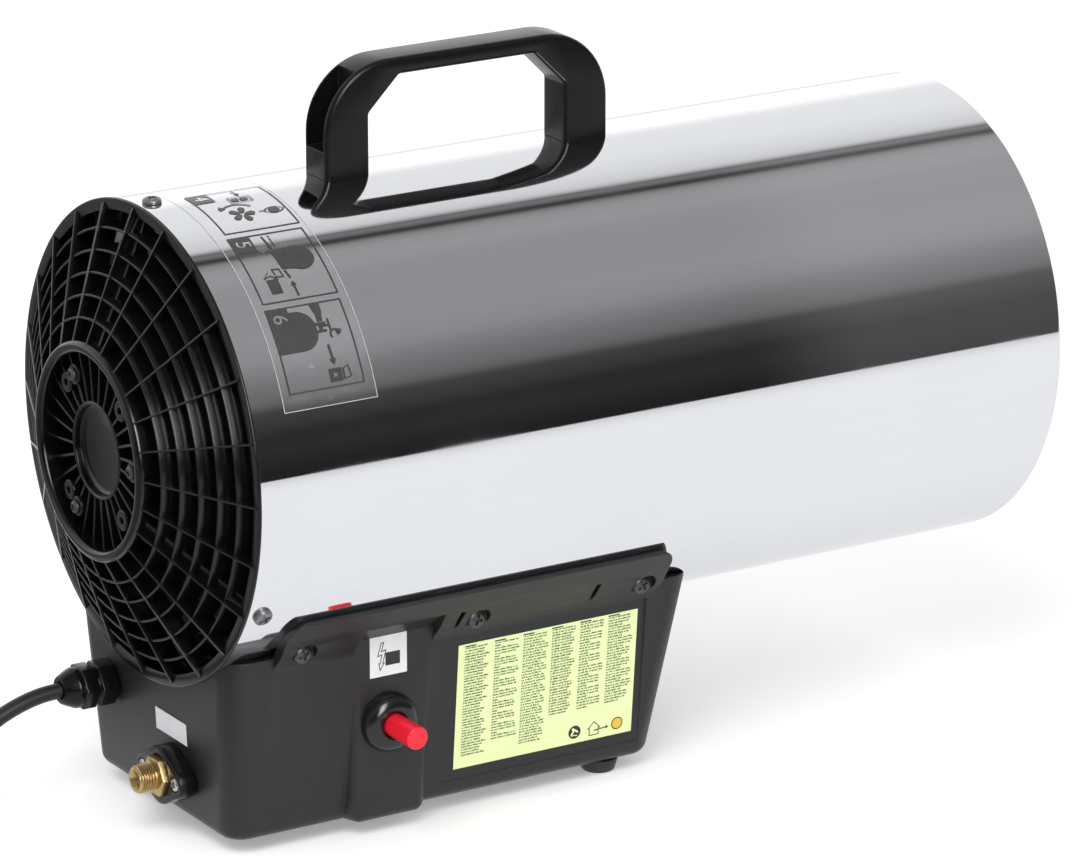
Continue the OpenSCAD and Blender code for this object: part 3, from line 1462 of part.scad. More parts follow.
barrel();
intake_grille();
grille_screws();
motor_housing();
motor_bearings();
motor_screws();
motor_shaft();
fan_impeller();
fan_nut();
flame_tube();
tube_spacers();
burner_bracket();
burner_cup();
cup_posts();
jet_holder();
jet_nut();
gas_jet();
gas_pipe();
inlet_pipe();
pipe_nuts();
gas_valve_body();
valve_stem();
valve_spring();
push_button();
button_collar();
collar_nut();
piezo_igniter();
piezo_plunger();
piezo_bracket();
thermocouple();
spark_electrode();
electrode_insulator();
ignition_lead();
overheat_cutout();
terminal_block();
wiring();
grommets();
base_shell();
base_screws();
rubber_feet();
foot_screws();
handle();
handle_screws();
inlet_flange();
inlet_nipple();
inlet_screws();
cable_gland_body();
cable_gland_nut();
gland_locknut();
mains_lead();
mains_lead_coil();
mains_lead_tail();
plug_body();
plug_pins();
step_sticker();
panel_label();
button_label();
inlet_label();
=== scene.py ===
"""Studio, materials and detailed pieces of a forced air heater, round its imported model.

Lengths in the size classes are in millimetres. ``s`` runs along the barrel from its rear
rim, ``turn`` goes round the barrel's axis as seen from the rear, with 0 on the control
side and 90 at the top, and ``rise`` is a height above that axis. SHARP_FROM is the usual
angle in degrees from which an edge stays sharp, and DOUBLED is the distance in metres up to
which two points of a piece are merged.
"""

from __future__ import annotations

import json
import logging
import math
import random
from dataclasses import dataclass, field
from enum import Enum
from typing import (Any, Callable, Generic, Iterable, Mapping, Optional, Sequence, TypeVar,
                    Union)

import bmesh
import bpy
from mathutils import Matrix, Vector

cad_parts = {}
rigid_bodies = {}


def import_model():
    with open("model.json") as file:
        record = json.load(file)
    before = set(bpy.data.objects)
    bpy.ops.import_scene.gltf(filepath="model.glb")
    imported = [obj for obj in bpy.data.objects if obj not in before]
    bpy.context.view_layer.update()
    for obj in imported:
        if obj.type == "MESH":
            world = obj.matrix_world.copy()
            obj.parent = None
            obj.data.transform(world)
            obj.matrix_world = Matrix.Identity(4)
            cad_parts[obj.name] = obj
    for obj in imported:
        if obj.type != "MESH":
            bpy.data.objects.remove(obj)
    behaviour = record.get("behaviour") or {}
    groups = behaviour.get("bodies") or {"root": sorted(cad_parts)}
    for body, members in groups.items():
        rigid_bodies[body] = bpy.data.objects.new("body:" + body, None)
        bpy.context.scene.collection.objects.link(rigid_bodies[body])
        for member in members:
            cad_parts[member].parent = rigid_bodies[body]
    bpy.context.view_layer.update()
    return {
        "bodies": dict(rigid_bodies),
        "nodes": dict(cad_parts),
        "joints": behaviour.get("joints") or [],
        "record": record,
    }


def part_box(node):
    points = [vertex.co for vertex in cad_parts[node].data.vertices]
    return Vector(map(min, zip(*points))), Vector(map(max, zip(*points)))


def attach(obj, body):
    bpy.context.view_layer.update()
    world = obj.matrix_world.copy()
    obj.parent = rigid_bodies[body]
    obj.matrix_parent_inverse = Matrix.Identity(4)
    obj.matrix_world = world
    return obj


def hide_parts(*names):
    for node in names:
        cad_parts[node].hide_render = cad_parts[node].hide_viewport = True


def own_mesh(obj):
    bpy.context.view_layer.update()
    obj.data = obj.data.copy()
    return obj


LOG = logging.getLogger("heater")
MM = 0.001
SHARP_FROM = 32.0
DOUBLED = 2e-7

Point2 = tuple[float, float]
Point3 = tuple[float, float, float]
Span = tuple[float, float, float, float]
Stops = tuple[tuple[float, float], ...]
Surface = Callable[[float, float, float], Vector]
Value = Union["Sock", float, int, bool, str, Sequence[float]]


class Body(Enum):
    """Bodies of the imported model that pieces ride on."""

    HOUSING = "housing"
    FAN = "fan"
    BUTTON = "button"


class Grain(Enum):
    """Kinds of surface texture, each by the method of Coating that makes it."""

    MIRROR = "mirror"
    SHEET = "sheet"
    TURNED = "turned"
    MOULDED = "moulded"
    GLAZE = "glaze"
    PRINT = "printed"
    FILM = "film"


@dataclass(frozen=True)
class Datum:
    """Places that every piece shares."""

    rear_x: float = -199.85
    axis_z: float = 180.0
    barrel_r: float = 110.0
    barrel_l: float = 428.0
    wall: float = 0.8

    @property
    def inner_r(self) -> float:
        """Inner radius of the barrel."""
        return self.barrel_r - self.wall

    def point(self, s: float, y: float, rise: float) -> Vector:
        """Gives the model's point at a place along, across and above the axis."""
        return Vector((self.rear_x + s, y, self.axis_z + rise))

    def on_axis(self, s: float = 0.0) -> Matrix:
        """Lays a shape drawn along Z on the axis: Z becomes +X, X goes up."""
        return Matrix.Translation(self.point(s, 0, 0)) @ Matrix(
            ((0, 0, 1, 0), (0, -1, 0, 0), (1, 0, 0, 0), (0, 0, 0, 1)))

    def spoke(self, turn: float, s: float = 0.0) -> Matrix:
        """Turns a shape drawn upwards, with X along the barrel, to an angle in degrees."""
        return Matrix.Translation(self.point(s, 0, 0)) @ Matrix.Rotation(
            math.radians(90 - turn), 4, "X")


DATUM = Datum()
REARWARD = Vector((-1, 0, 0))


# Colours and finishes


def linear(colour: Sequence[float]) -> Point3:
    """Turns a display colour into the renderer's linear one.

    Args:
        colour: red, green and blue, from 0 to 255.

    Returns:
        The linear colour, from 0 to 1.
    """
    parts = [c / 255 for c in colour]
    made = [c / 12.92 if c <= 0.04045 else ((c + 0.055) / 1.055) ** 2.4 for c in parts]
    return (made[0], made[1], made[2])


@dataclass(frozen=True)
class Finish:
    """A surface finish and the texture that its material is built with."""

    name: str
    colour: Point3
    grain: Grain
    roughness: float = 0.4
    metallic: float = 0.0
    coat: float = 0.0
    size: float = 0.5
    depth: float = 0.02
    mottle: float = 0.08
    # edge is the share of a painted highlight along sharp edges, standing in for light that
    # catches them; the colour after it is that highlight's colour.
    edge: float = 0.0
    edge_colour: Point3 = (150, 150, 150)
    round_edge: float = 0.0
    ior: float = 1.5
    slot: str = ""


@dataclass(frozen=True)
class Sock:
    """One output of a node tree, with arithmetic on it.

    Numbers go through Math, vectors through Vector Math and colours through Mix.
    """

    graph: Graph
    socket: bpy.types.NodeSocket

    def __add__(self, other: Value) -> Sock:
        """Adds."""
        return self.graph.calc("ADD", self, other)

    def __radd__(self, other: Value) -> Sock:
        """Adds, reflected."""
        return self.graph.calc("ADD", other, self)

    def __sub__(self, other: Value) -> Sock:
        """Subtracts."""
        return self.graph.calc("SUBTRACT", self, other)

    def __rsub__(self, other: Value) -> Sock:
        """Subtracts, reflected."""
        return self.graph.calc("SUBTRACT", other, self)

    def __mul__(self, other: Value) -> Sock:
        """Multiplies."""
        return self.graph.calc("MULTIPLY", self, other)

    def __rmul__(self, other: Value) -> Sock:
        """Multiplies, reflected."""
        return self.graph.calc("MULTIPLY", other, self)

    def __truediv__(self, other: Value) -> Sock:
        """Divides."""
        return self.graph.calc("DIVIDE", self, other)

    def __rtruediv__(self, other: Value) -> Sock:
        """Divides, reflected."""
        return self.graph.calc("DIVIDE", other, self)

    def __neg__(self) -> Sock:
        """Changes the sign."""
        return self.graph.calc("MULTIPLY", self, -1.0)

    def over(self, limit: Value) -> Sock:
        """Gives 1 where this is above a limit, and 0 elsewhere."""
        return self.graph.calc("GREATER_THAN", self, limit)

    def size(self) -> Sock:
        """Gives the absolute value of a number."""
        return self.graph.calc("ABSOLUTE", self)

    def beside(self, name: str) -> Sock:
        """Gives another output of the same node."""
        return Sock(self.graph, self.socket.node.outputs[name])


@dataclass(frozen=True)
class Graph:
    """A node tree, of a material, the world or Geometry Nodes."""

    tree: bpy.types.NodeTree

    def feed(self, socket: bpy.types.NodeSocket, value: Value) -> None:
        """Links a socket, or sets its constant.

        Args:
            socket: the input.
            value: an output to link, or a constant.
        """
        if isinstance(value, Sock):
            self.tree.links.new(value.socket, socket)
            return
        if socket.type in ("VECTOR", "RGBA") and isinstance(value, (int, float)):
            value = (value, value, value)
        if socket.type == "RGBA" and len(value) == 3:
            value = (*value, 1.0)
        socket.default_value = value

    def node(self, kind: str, inputs: Optional[Mapping[Union[int, str], Value]] = None,
             out: Union[int, str] = 0, **settings: Any) -> Sock:
        """Makes a node.

        Args:
            kind: the node's type.
            inputs: what its inputs take, by name or number.
            out: the output that is handed back.
            **settings: its own properties.

        Returns:
            The chosen output.
        """
        made = self.tree.nodes.new(kind)
        for key, setting in settings.items():
            setattr(made, key, setting)
        for key, value in (inputs or {}).items():
            self.feed(made.inputs[key], value)
        return Sock(self, made.outputs[out] if made.outputs else made.inputs[0])

    def calc(self, operation: str, *values: Value) -> Sock:
        """Makes one sum, picking the node by what the values are.

        Args:
            operation: the name that the node knows it by.
            *values: what it takes.

        Returns:
            The result.
        """
        kinds = {v.socket.type for v in values if isinstance(v, Sock)}
        if "RGBA" in kinds:
            return self.node("ShaderNodeMix", {0: 1.0, 6: values[0], 7: values[1]}, 2,
                             data_type="RGBA", blend_type=operation)
        if "VECTOR" in kinds:
            return self.node("ShaderNodeVectorMath", dict(enumerate(values)),
                             operation=operation)
        return self.node("ShaderNodeMath", dict(enumerate(values)), operation=operation)

    def mix(self, factor: Value, first: Value, second: Value) -> Sock:
        """Mixes two colours by the second one's share."""
        return self.node("ShaderNodeMix", {0: factor, 6: first, 7: second}, 2,
                         data_type="RGBA", blend_type="MIX", clamp_factor=True)

    def spread(self, value: Value, low: float, high: float, first: float = 0.0,
               last: float = 1.0) -> Sock:
        """Maps the range from low to high smoothly to the one from first to last."""
        return self.node("ShaderNodeMapRange", {0: value, 1: low, 2: high, 3: first, 4: last},
                         interpolation_type="SMOOTHSTEP")

    def noise(self, place: Value, scale: float, detail: float = 3.0,
              rough: float = 0.5) -> Sock:
        """Makes a noise about 0.5, with so many features to a unit."""
        return self.node("ShaderNodeTexNoise", {"Vector": place, "Scale": scale,
                                                "Detail": detail, "Roughness": rough})

    def ramp(self, value: Value, stops: Sequence[Point2]) -> Sock:
        """Makes a ramp of greys.

        Args:
            value: place along it, from 0 to 1.
            stops: place and linear grey of each stop, in order.

        Returns:
            The colour.
        """
        made = self.node("ShaderNodeValToRGB", {0: value})
        band = made.socket.node.color_ramp
        while len(band.elements) < len(stops):
            band.elements.new(1.0)
        for element, (at, grey) in zip(band.elements, stops):
            element.position = at
            element.color = (grey, grey, grey, 1.0)
        return made


class Coating:
    """One material, built from a finish."""

    def __init__(self, finish: Finish) -> None:
        """Starts the material with the finish's constants.

        Args:
            finish: the finish.
        """
        self.finish = finish
        self.material = bpy.data.materials.new(finish.name)
        self.material.use_nodes = True
        self.material.diffuse_color = (*linear(finish.colour), 1.0)
        self.graph = Graph(self.material.node_tree)
        self.shader = self.material.node_tree.nodes["Principled BSDF"]
        self.feed("Metallic", finish.metallic)
        self.feed("Roughness", finish.roughness)
        self.feed("Coat Weight", finish.coat)
        self.feed("IOR", finish.ior)
        self.place = self.graph.node("ShaderNodeTexCoord", out="Object") * (1 / MM)

    def feed(self, name: str, value: Value) -> None:
        """Gives an input of the shader its value."""
        self.graph.feed(self.shader.inputs[name], value)

    def soft_normal(self) -> Sock:
        """Gives the normal with sharp edges rounded."""
        return self.graph.node("ShaderNodeBevel", {"Radius": self.finish.round_edge * MM},
                               samples=4)

    def bump(self, height: Value) -> None:
        """Gives the shader a bumped normal, over rounded edges where the finish has them.

        Args:
            height: height of the surface, from 0 to 1.
        """
        inputs: dict[Union[int, str], Value] = {"Height": height,
                                                "Distance": self.finish.depth * MM}
        if self.finish.round_edge > 0:
            inputs["Normal"] = self.soft_normal()
        self.feed("Normal", self.graph.node("ShaderNodeBump", inputs))

    def shade(self, factor: Value, gain: float, lift: float = 0.0,
              base: Optional[Value] = None) -> Sock:
        """Mixes a colour with a lighter or darker form of the finish's own.

        Args:
            factor: share of the second colour.
            gain: what the finish's colour is multiplied by.
            lift: what is added to it.
            base: the first colour, the finish's own where not given.

        Returns:
            The mixed colour.
        """
        other = linear([min(255.0, c * gain + lift) for c in self.finish.colour])
        return self.graph.mix(factor, linear(self.finish.colour) if base is None else base,
                              other)

    def worn(self, base: Value) -> Value:
        """Paints a highlight along sharp edges, where the finish asks for it: a lighter colour
        that stands in for light catching them.

        Args:
            base: the colour away from the edges.

        Returns:
            The colour with its painted edge highlights.
        """
        if self.finish.edge <= 0:
            return base
        flat = self.graph.node("ShaderNodeNewGeometry", out="Normal")
        along = self.graph.node("ShaderNodeVectorMath", {0: self.soft_normal(), 1: flat},
                                "Value", operation="DOT_PRODUCT")
        # painted highlight: the edge colour is mixed in where the rounded normal turns away
        # from the flat one
        return self.graph.mix((1.0 - along) * self.finish.edge, base,
                              linear(self.finish.edge_colour))

    def mirror(self) -> None:
        """Polished sheet: faint rolling streaks, slow waves and haze towards the front."""
        graph, place, finish = self.graph, self.place, self.finish
        streaks = graph.noise(place * (0.012, 0.55, 0.55), 1.0, 4.0)
        haze = graph.noise(place, 0.018, 3.0)
        specks = graph.noise(place, 1.7, 2.0)
        tone = 0.97 + (streaks - 0.5) * 0.05 + (haze - 0.5) * 0.06
        self.feed("Base Color", graph.mix(1.0 - tone, linear(finish.colour),
                                          (0.35, 0.35, 0.37)))
        self.feed("Roughness", finish.roughness + graph.spread(haze, 0.45, 0.8) * 0.05
                  + (streaks - 0.5) * 0.02 + graph.spread(specks, 0.68, 0.8) * 0.04)
        along = graph.node("ShaderNodeSeparateXYZ", {0: place})
        self.feed("Metallic", graph.spread(along, 50.0, 130.0, 1.0, 0.95))
        self.bump(graph.noise(place * (0.35, 1.0, 1.0), 0.02, 1.0))

    def sheet(self) -> None:
        """Plain or heat-stained sheet and castings: mottled, with a brushed grain."""
        graph, finish = self.graph, self.finish
        lines = graph.noise(self.place * (0.04, 1.0, 1.0), 1 / finish.size, 4.0)
        cloud = graph.noise(self.place, 0.05, 4.0, 0.6)
        # sharp edges get a painted highlight where the finish has one
        self.feed("Base Color", self.worn(self.shade(
            graph.spread(cloud, 0.35, 0.7) * finish.mottle * 4, 0.62)))
        self.feed("Roughness", finish.roughness + (cloud - 0.5) * 0.25 + (lines - 0.5) * 0.15)
        self.bump(lines)

    def turned(self) -> None:
        """Turned and plated parts: fine rings, with dull patches in the corners."""
        graph, finish = self.graph, self.finish
        rings = graph.noise(self.place * (1.0, 0.2, 0.2), 1 / finish.size, 2.0)
        cloud = graph.noise(self.place, 0.35, 4.0, 0.6)
        # sharp edges get a painted highlight where the finish has one
        self.feed("Base Color", self.worn(self.shade(
            graph.spread(cloud, 0.4, 0.75) * finish.mottle * 4, 0.7)))
        self.feed("Roughness", finish.roughness + (cloud - 0.5) * 0.2 + (rings - 0.5) * 0.1)
        self.bump(rings)

    def moulded(self) -> None:
        """Moulded plastic and rubber: a fine grain, slow mottling and a painted highlight on
        sharp edges.
        """
        graph, finish = self.graph, self.finish
        fine = graph.noise(self.place, 1 / finish.size, 3.0, 0.55)
        slow = graph.noise(self.place, 0.03, 3.0)
        base = self.shade((slow - 0.5).size() * finish.mottle * 8, 1.3, 6)
        base = self.shade(graph.spread(fine, 0.3, 0.7) * finish.mottle, 1.5, 10, base)
        # sharp edges get a painted highlight where the finish has one
        self.feed("Base Color", self.worn(base))
        self.feed("Roughness", finish.roughness + (slow - 0.5) * 0.12 + (fine - 0.5) * 0.12)
        self.bump(fine)

    def glaze(self) -> None:
        """Glazed ceramic: nearly even, with soft spots."""
        spots = self.graph.noise(self.place, 0.6, 3.0)
        self.feed("Base Color", self.shade(self.graph.spread(spots, 0.55, 0.8) * 0.3, 0.85))
        self.feed("Roughness", self.finish.roughness + (spots - 0.5) * 0.1)
        self.bump(spots)

    def printed(self) -> None:
        """Printed paper or vinyl: slight fading and a faint texture."""
        fade = self.graph.noise(self.place, 0.08, 3.0)
        fibre = self.graph.noise(self.place, 1 / self.finish.size, 3.0)
        self.feed("Base Color", self.shade(
            self.graph.spread(fade, 0.4, 0.7) * self.finish.mottle, 0.9))
        self.feed("Roughness", self.finish.roughness + (fibre - 0.5) * 0.15)
        self.bump(fibre)

    def film(self) -> None:
        """Clear film: nearly nothing but a gloss and a few bubbles."""
        graph = self.graph
        bubbles = graph.noise(self.place, 0.35, 2.0)
        self.feed("Base Color", graph.mix(graph.spread(bubbles, 0.5, 0.8),
                                          linear(self.finish.colour), (1.0, 1.0, 1.0)))
        self.feed("Alpha", 0.018 + graph.spread(bubbles, 0.6, 0.72) * 0.03)
        self.feed("Roughness", self.finish.roughness + (bubbles - 0.5) * 0.1)
        self.bump(bubbles)


class Workshop:
    """Keeps the procedural materials, one for each finish."""

    def __init__(self) -> None:
        """Starts with no material."""
        self.made: dict[str, bpy.types.Material] = {}

    def material(self, finish: Finish) -> bpy.types.Material:
        """Gives the material of a finish, building it the first time.

        Args:
            finish: the finish.

        Returns:
            The material.
        """
        if finish.name not in self.made:
            coating = Coating(finish)
            getattr(coating, finish.grain.value)()
            self.made[finish.name] = coating.material
        return self.made[finish.name]


STEEL = Finish("barrel_steel", (232, 233, 236), Grain.MIRROR, 0.035, 1.0, depth=0.05)
# GRILLE, BASE, HANDLE and GLAND paint a highlight along their sharp edges with their edge share
# and edge colour.
GRILLE = Finish("grille_plastic", (8, 8, 9), Grain.MOULDED, 0.21, size=0.7, depth=0.004,
                mottle=0.02, edge=0.04, edge_colour=(84, 85, 88), round_edge=0.6)
BASE = Finish("base_plastic", (22, 22, 23), Grain.MOULDED, 0.44, size=0.35, mottle=0.07,
              edge=0.6, edge_colour=(104, 105, 108), round_edge=0.8)
HANDLE = Finish("handle_plastic", (17, 17, 18), Grain.MOULDED, 0.25, size=0.4, depth=0.012,
                mottle=0.05, edge=0.7, edge_colour=(95, 95, 98), round_edge=0.8, ior=1.34)
ZINC = Finish("screw_steel", (128, 128, 130), Grain.TURNED, 0.36, 0.6, size=0.3, depth=0.01,
              mottle=0.12)
# A darker copy of the screw steel: painted shade for screw heads set in pockets, in the base
# and in the grille's hub.
SHADED_ZINC = Finish("dark_screw_steel", (84, 84, 86), Grain.TURNED, 0.34, 0.6, size=0.3,
                   depth=0.01, mottle=0.12, slot="screw_steel")
BRIGHT = Finish("bright_steel", (196, 198, 202), Grain.TURNED, 0.25, 1.0, size=0.25,
                depth=0.008, round_edge=0.3)
BRASS = Finish("brass", (196, 168, 118), Grain.TURNED, 0.3, 0.9, size=0.25, depth=0.008,
               mottle=0.1, round_edge=0.25)
COPPER = Finish("copper", (196, 122, 84), Grain.TURNED, 0.3, 1.0, size=0.4, depth=0.008,
                mottle=0.16)
MOTOR = Finish("motor_paint", (58, 59, 63), Grain.MOULDED, 0.45, mottle=0.06, round_edge=0.5)
FAN = Finish("fan_metal", (172, 175, 178), Grain.SHEET, 0.32, 1.0, depth=0.01, round_edge=0.3)
BURNER = Finish("burner_steel", (196, 192, 184), Grain.SHEET, 0.42, 0.55, size=0.6,
                mottle=0.16, round_edge=0.3)
RED = Finish("red_plastic", (232, 30, 50), Grain.MOULDED, 0.28, depth=0.004, mottle=0.03)
COLLAR = Finish("collar_plastic", (24, 24, 26), Grain.MOULDED, 0.2, size=0.6, depth=0.004,
                mottle=0.03)
CERAMIC = Finish("ceramic", (236, 232, 222), Grain.GLAZE, 0.2, coat=0.5, depth=0.01)
LEAD_RED = Finish("lead_red", (170, 40, 34), Grain.MOULDED, 0.5, depth=0.01, mottle=0.04)
CREAM = Finish("cream_plastic", (216, 206, 178), Grain.MOULDED, 0.4, depth=0.01, mottle=0.04,
               round_edge=0.4)
CABLE = Finish("cable_rubber", (30, 30, 32), Grain.MOULDED, 0.45, size=0.6, mottle=0.05)
FOOT = Finish("foot_rubber", (34, 34, 36), Grain.MOULDED, 0.62, size=0.45, depth=0.03)
GLAND = Finish("gland_plastic", (13, 13, 14), Grain.MOULDED, 0.2, size=0.4, depth=0.01,
               mottle=0.05, edge=0.25, edge_colour=(80, 80, 82), round_edge=0.5, ior=1.34)
PLUG = Finish("plug_plastic", (26, 26, 28), Grain.MOULDED, 0.38, size=0.45, depth=0.014,
              mottle=0.05, round_edge=0.5)
CLEAR = Finish("clear_film", (244, 244, 246), Grain.FILM, 0.1, depth=0.01)
PANEL_LABEL = Finish("green_label", (238, 252, 186), Grain.PRINT, 0.42, size=0.3, depth=0.004,
                     mottle=0.12)
WHITE_LABEL = Finish("white_label", (238, 238, 236), Grain.PRINT, 0.4, size=0.3, depth=0.004,
                     mottle=0.3)
GREY_LABEL = Finish("grey_label", (206, 207, 210), Grain.PRINT, 0.35, size=0.3, depth=0.004,
                    mottle=0.3)
FILM_INK = Finish("film_ink", (64, 64, 66), Grain.PRINT, 0.28, depth=0.002, mottle=0.3)
FILM_RIM = Finish("film_rim", (196, 197, 199), Grain.PRINT, 0.25, depth=0.002, mottle=0.3)
AMBER = Finish("amber_ink", (236, 196, 62), Grain.PRINT, 0.45, size=0.3, depth=0.002,
               mottle=0.2)
INK = Finish("label_ink", (34, 36, 38), Grain.PRINT, 0.5, size=0.3, depth=0.002, mottle=0.2)


# Meshes


def polar(r: float, angle: float, height: float = 0.0) -> Vector:
    """Gives the point at a radius, an angle in radians and a height."""
    return Vector((r * math.cos(angle), r * math.sin(angle), height))


def turns(count: int) -> list[float]:
    """Lists the angles that share a whole turn, in radians."""
    return [2 * math.pi * k / count for k in range(count)]


def arc(centre: Point2, radius: float, first: float, last: float, steps: int) -> list[Point2]:
    """Lists points on an arc.

    Args:
        centre: centre of the arc.
        radius: its radius.
        first: its first angle, in degrees.
        last: its last angle, in degrees.
        steps: number of steps.

    Returns:
        The points, one more than the steps.
    """
    angles = [math.radians(first + (last - first) * i / steps) for i in range(steps + 1)]
    return [(centre[0] + radius * math.cos(a), centre[1] + radius * math.sin(a))
            for a in angles]


def rounded(corners: Sequence[Sequence[float]], radius: float = 0.0, steps: int = 4,
            closed: bool = True) -> list[Point2]:
    """Rounds the corners of an outline.

    Args:
        corners: corner points, each with its own radius as an optional third number.
        radius: radius of the corners that have none of their own.
        steps: number of steps in each corner.
        closed: whether the outline is closed; the ends of an open one stay as they are.

    Returns:
        The outline's points.
    """
    count = len(corners)
    made: list[Point2] = []
    for i, corner in enumerate(corners):
        here = Vector((corner[0], corner[1]))
        r = corner[2] if len(corner) > 2 else radius
        if r <= 0 or (not closed and i in (0, count - 1)):
            made.append((here.x, here.y))
            continue
        before = Vector(corners[i - 1][:2]) - here
        after = Vector(corners[(i + 1) % count][:2]) - here
        half = before.angle(after, math.pi) / 2
        if half > math.radians(89.5):
            made.append((here.x, here.y))
            continue
        reach = min(r / math.tan(half), before.length * 0.499, after.length * 0.499)
        r = reach * math.tan(half)
        middle = here + (before.normalized() + after.normalized()).normalized() * (
            r / math.sin(half))
        first = here + before.normalized() * reach - middle
        last = here + after.normalized() * reach - middle
        sweep = math.atan2(first.x * last.y - first.y * last.x, first.dot(last))
        start = math.atan2(first.y, first.x)
        for k in range(steps + 1):
            a = start + sweep * k / steps
            made.append((middle.x + r * math.cos(a), middle.y + r * math.sin(a)))
    return made


def inset(outline: Sequence[Point2], amount: float) -> list[Point2]:
    """Moves a closed outline, drawn anticlockwise, inwards.

    Args:
        outline: its points.
        amount: how far it moves.

    Returns:
        The moved points.
    """
    made: list[Point2] = []
    count = len(outline)
    for i in range(count):
        a, b, c = (Vector(outline[(i + k) % count]) for k in (-1, 0, 1))
        u, v = (b - a), (c - b)
        u = u.normalized() if u.length > 1e-9 else Vector((1, 0))
        v = v.normalized() if v.length > 1e-9 else u
        normal = Vector((-(u.y + v.y), u.x + v.x))
        normal = normal.normalized() if normal.length > 1e-9 else Vector((-u.y, u.x))
        stretch = max(0.4, normal.dot(Vector((-u.y, u.x))))
        made.append((b.x + normal.x * amount / stretch, b.y + normal.y * amount / stretch))
    return made


@dataclass
class Shape:
    """Vertices and faces of a piece, gathered in millimetres."""

    points: list[Vector] = field(default_factory=list)
    faces: list[tuple[int, ...]] = field(default_factory=list)

    def grid(self, rows: Sequence[Sequence[Vector]], ring: bool = False,
             loop: bool = False) -> Shape:
        """Adds a sheet of quads.

        Args:
            rows: rows of points, all as long.
            ring: whether each row closes on itself.
            loop: whether the last row joins the first.

        Returns:
            This shape.
        """
        base, width = len(self.points), len(rows[0])
        for row in rows:
            self.points.extend(row)
        for i in range(len(rows) if loop else len(rows) - 1):
            for j in range(width if ring else width - 1):
                a, b = i * width, ((i + 1) % len(rows)) * width
                k = (j + 1) % width
                self.faces.append((base + a + j, base + a + k, base + b + k, base + b + j))
        return self

    def cap(self, row: Sequence[Vector], flip: bool = False) -> Shape:
        """Adds one flat face.

        Args:
            row: its points.
            flip: whether it faces the other way.

        Returns:
            This shape.
        """
        base = len(self.points)
        self.points.extend(row)
        order = list(range(base, base + len(row)))
        self.faces.append(tuple(reversed(order) if flip else order))
        return self

    def lathe(self, profile: Sequence[Point2], at: Matrix, segments: int = 96,
              closed: bool = True) -> Shape:
        """Turns a profile of radii and heights, drawn anticlockwise, round Z."""
        rows = [[at @ polar(r, a, h) for a in turns(segments)] for r, h in profile]
        return self.grid(rows, ring=True, loop=closed)

    def prism(self, outline: Sequence[Point2], height: float, at: Matrix,
              soft: float = 0.0, steps: int = 3) -> Shape:
        """Pushes a closed outline, drawn anticlockwise, up along Z.

        Args:
            outline: its points.
            height: how far it goes.
            at: matrix that places the shape.
            soft: radius of its top and bottom edges.
            steps: number of steps in those edges.

        Returns:
            This shape.
        """
        levels: list[Point2] = [(0.0, 0.0), (0.0, height)]
        if soft > 0:
            quarter = [math.pi / 2 * k / steps for k in range(steps + 1)]
            levels = [(soft * (1 - math.sin(q)), soft * (1 - math.cos(q))) for q in quarter]
            levels += [(soft * (1 - math.cos(q)), height - soft * (1 - math.sin(q)))
                       for q in quarter]
        rows = [[at @ Vector((x, y, h)) for x, y in inset(outline, back)]
                for back, h in levels]
        self.grid(rows, ring=True)
        self.cap(rows[0], flip=True)
        return self.cap(rows[-1])

    def tube(self, route: Sequence[Vector], radius: float, sides: int = 12) -> Shape:
        """Sweeps a circle along a route, and closes its ends.

        Args:
            route: its points.
            radius: the circle's radius.
            sides: number of sides.

        Returns:
            This shape.
        """
        headings = []
        for i in range(len(route)):
            a, b = route[max(i - 1, 0)], route[min(i + 1, len(route) - 1)]
            headings.append((b - a).normalized())
        side = headings[0].orthogonal().normalized()
        rows = []
        for centre, heading in zip(route, headings):
            side = (side - heading * side.dot(heading)).normalized()
            other = heading.cross(side)
            rows.append([centre + (side * math.cos(a) + other * math.sin(a)) * radius
                         for a in turns(sides)])
        return self.grid(rows, ring=True).cap(rows[0], flip=True).cap(rows[-1])

    def add(self, other: Shape, at: Matrix = Matrix.Identity(4)) -> Shape:
        """Adds a copy of another shape.

        Args:
            other: the other shape.
            at: matrix that places the copy.

        Returns:
            This shape.
        """
        base = len(self.points)
        self.points.extend(at @ p for p in other.points)
        flip = at.to_3x3().determinant() < 0
        for face in other.faces:
            made = tuple(base + i for i in face)
            self.faces.append(tuple(reversed(made)) if flip else made)
        return self

    def mesh(self, name: str, finish: Optional[bpy.types.Material] = None,
             sharp: float = SHARP_FROM) -> bpy.types.Mesh:
        """Makes the mesh, in metres.

        Args:
            name: its name.
            finish: its material, if it has one.
            sharp: angle from which an edge stays sharp, in degrees.

        Returns:
            The mesh, with doubled points merged.
        """
        made = bpy.data.meshes.new(name)
        made.from_pydata([p * MM for p in self.points], [], self.faces)
        work = bmesh.new()
        work.from_mesh(made)
        bmesh.ops.remove_doubles(work, verts=work.verts, dist=DOUBLED)
        bmesh.ops.recalc_face_normals(work, faces=work.faces)
        work.to_mesh(made)
        work.free()
        if finish is not None:
            made.materials.append(finish)
        made.polygons.foreach_set("use_smooth", [True] * len(made.polygons))
        made.set_sharp_from_angle(angle=math.radians(sharp))
        return made


def facing(at: Vector, out: Vector, up: Vector = Vector((0, 0, 1))) -> Matrix:
    """Gives the matrix that points a shape drawn along Z in a direction.

    Args:
        at: where its origin goes.
        out: the direction.
        up: what its Y axis leans towards.

    Returns:
        The matrix.
    """
    z = out.normalized()
    x = up.cross(z)
    x = x.normalized() if x.length > 1e-6 else z.orthogonal().normalized()
    y = z.cross(x)
    turn = Matrix((x, y, z)).transposed().to_4x4()
    return Matrix.Translation(at) @ turn


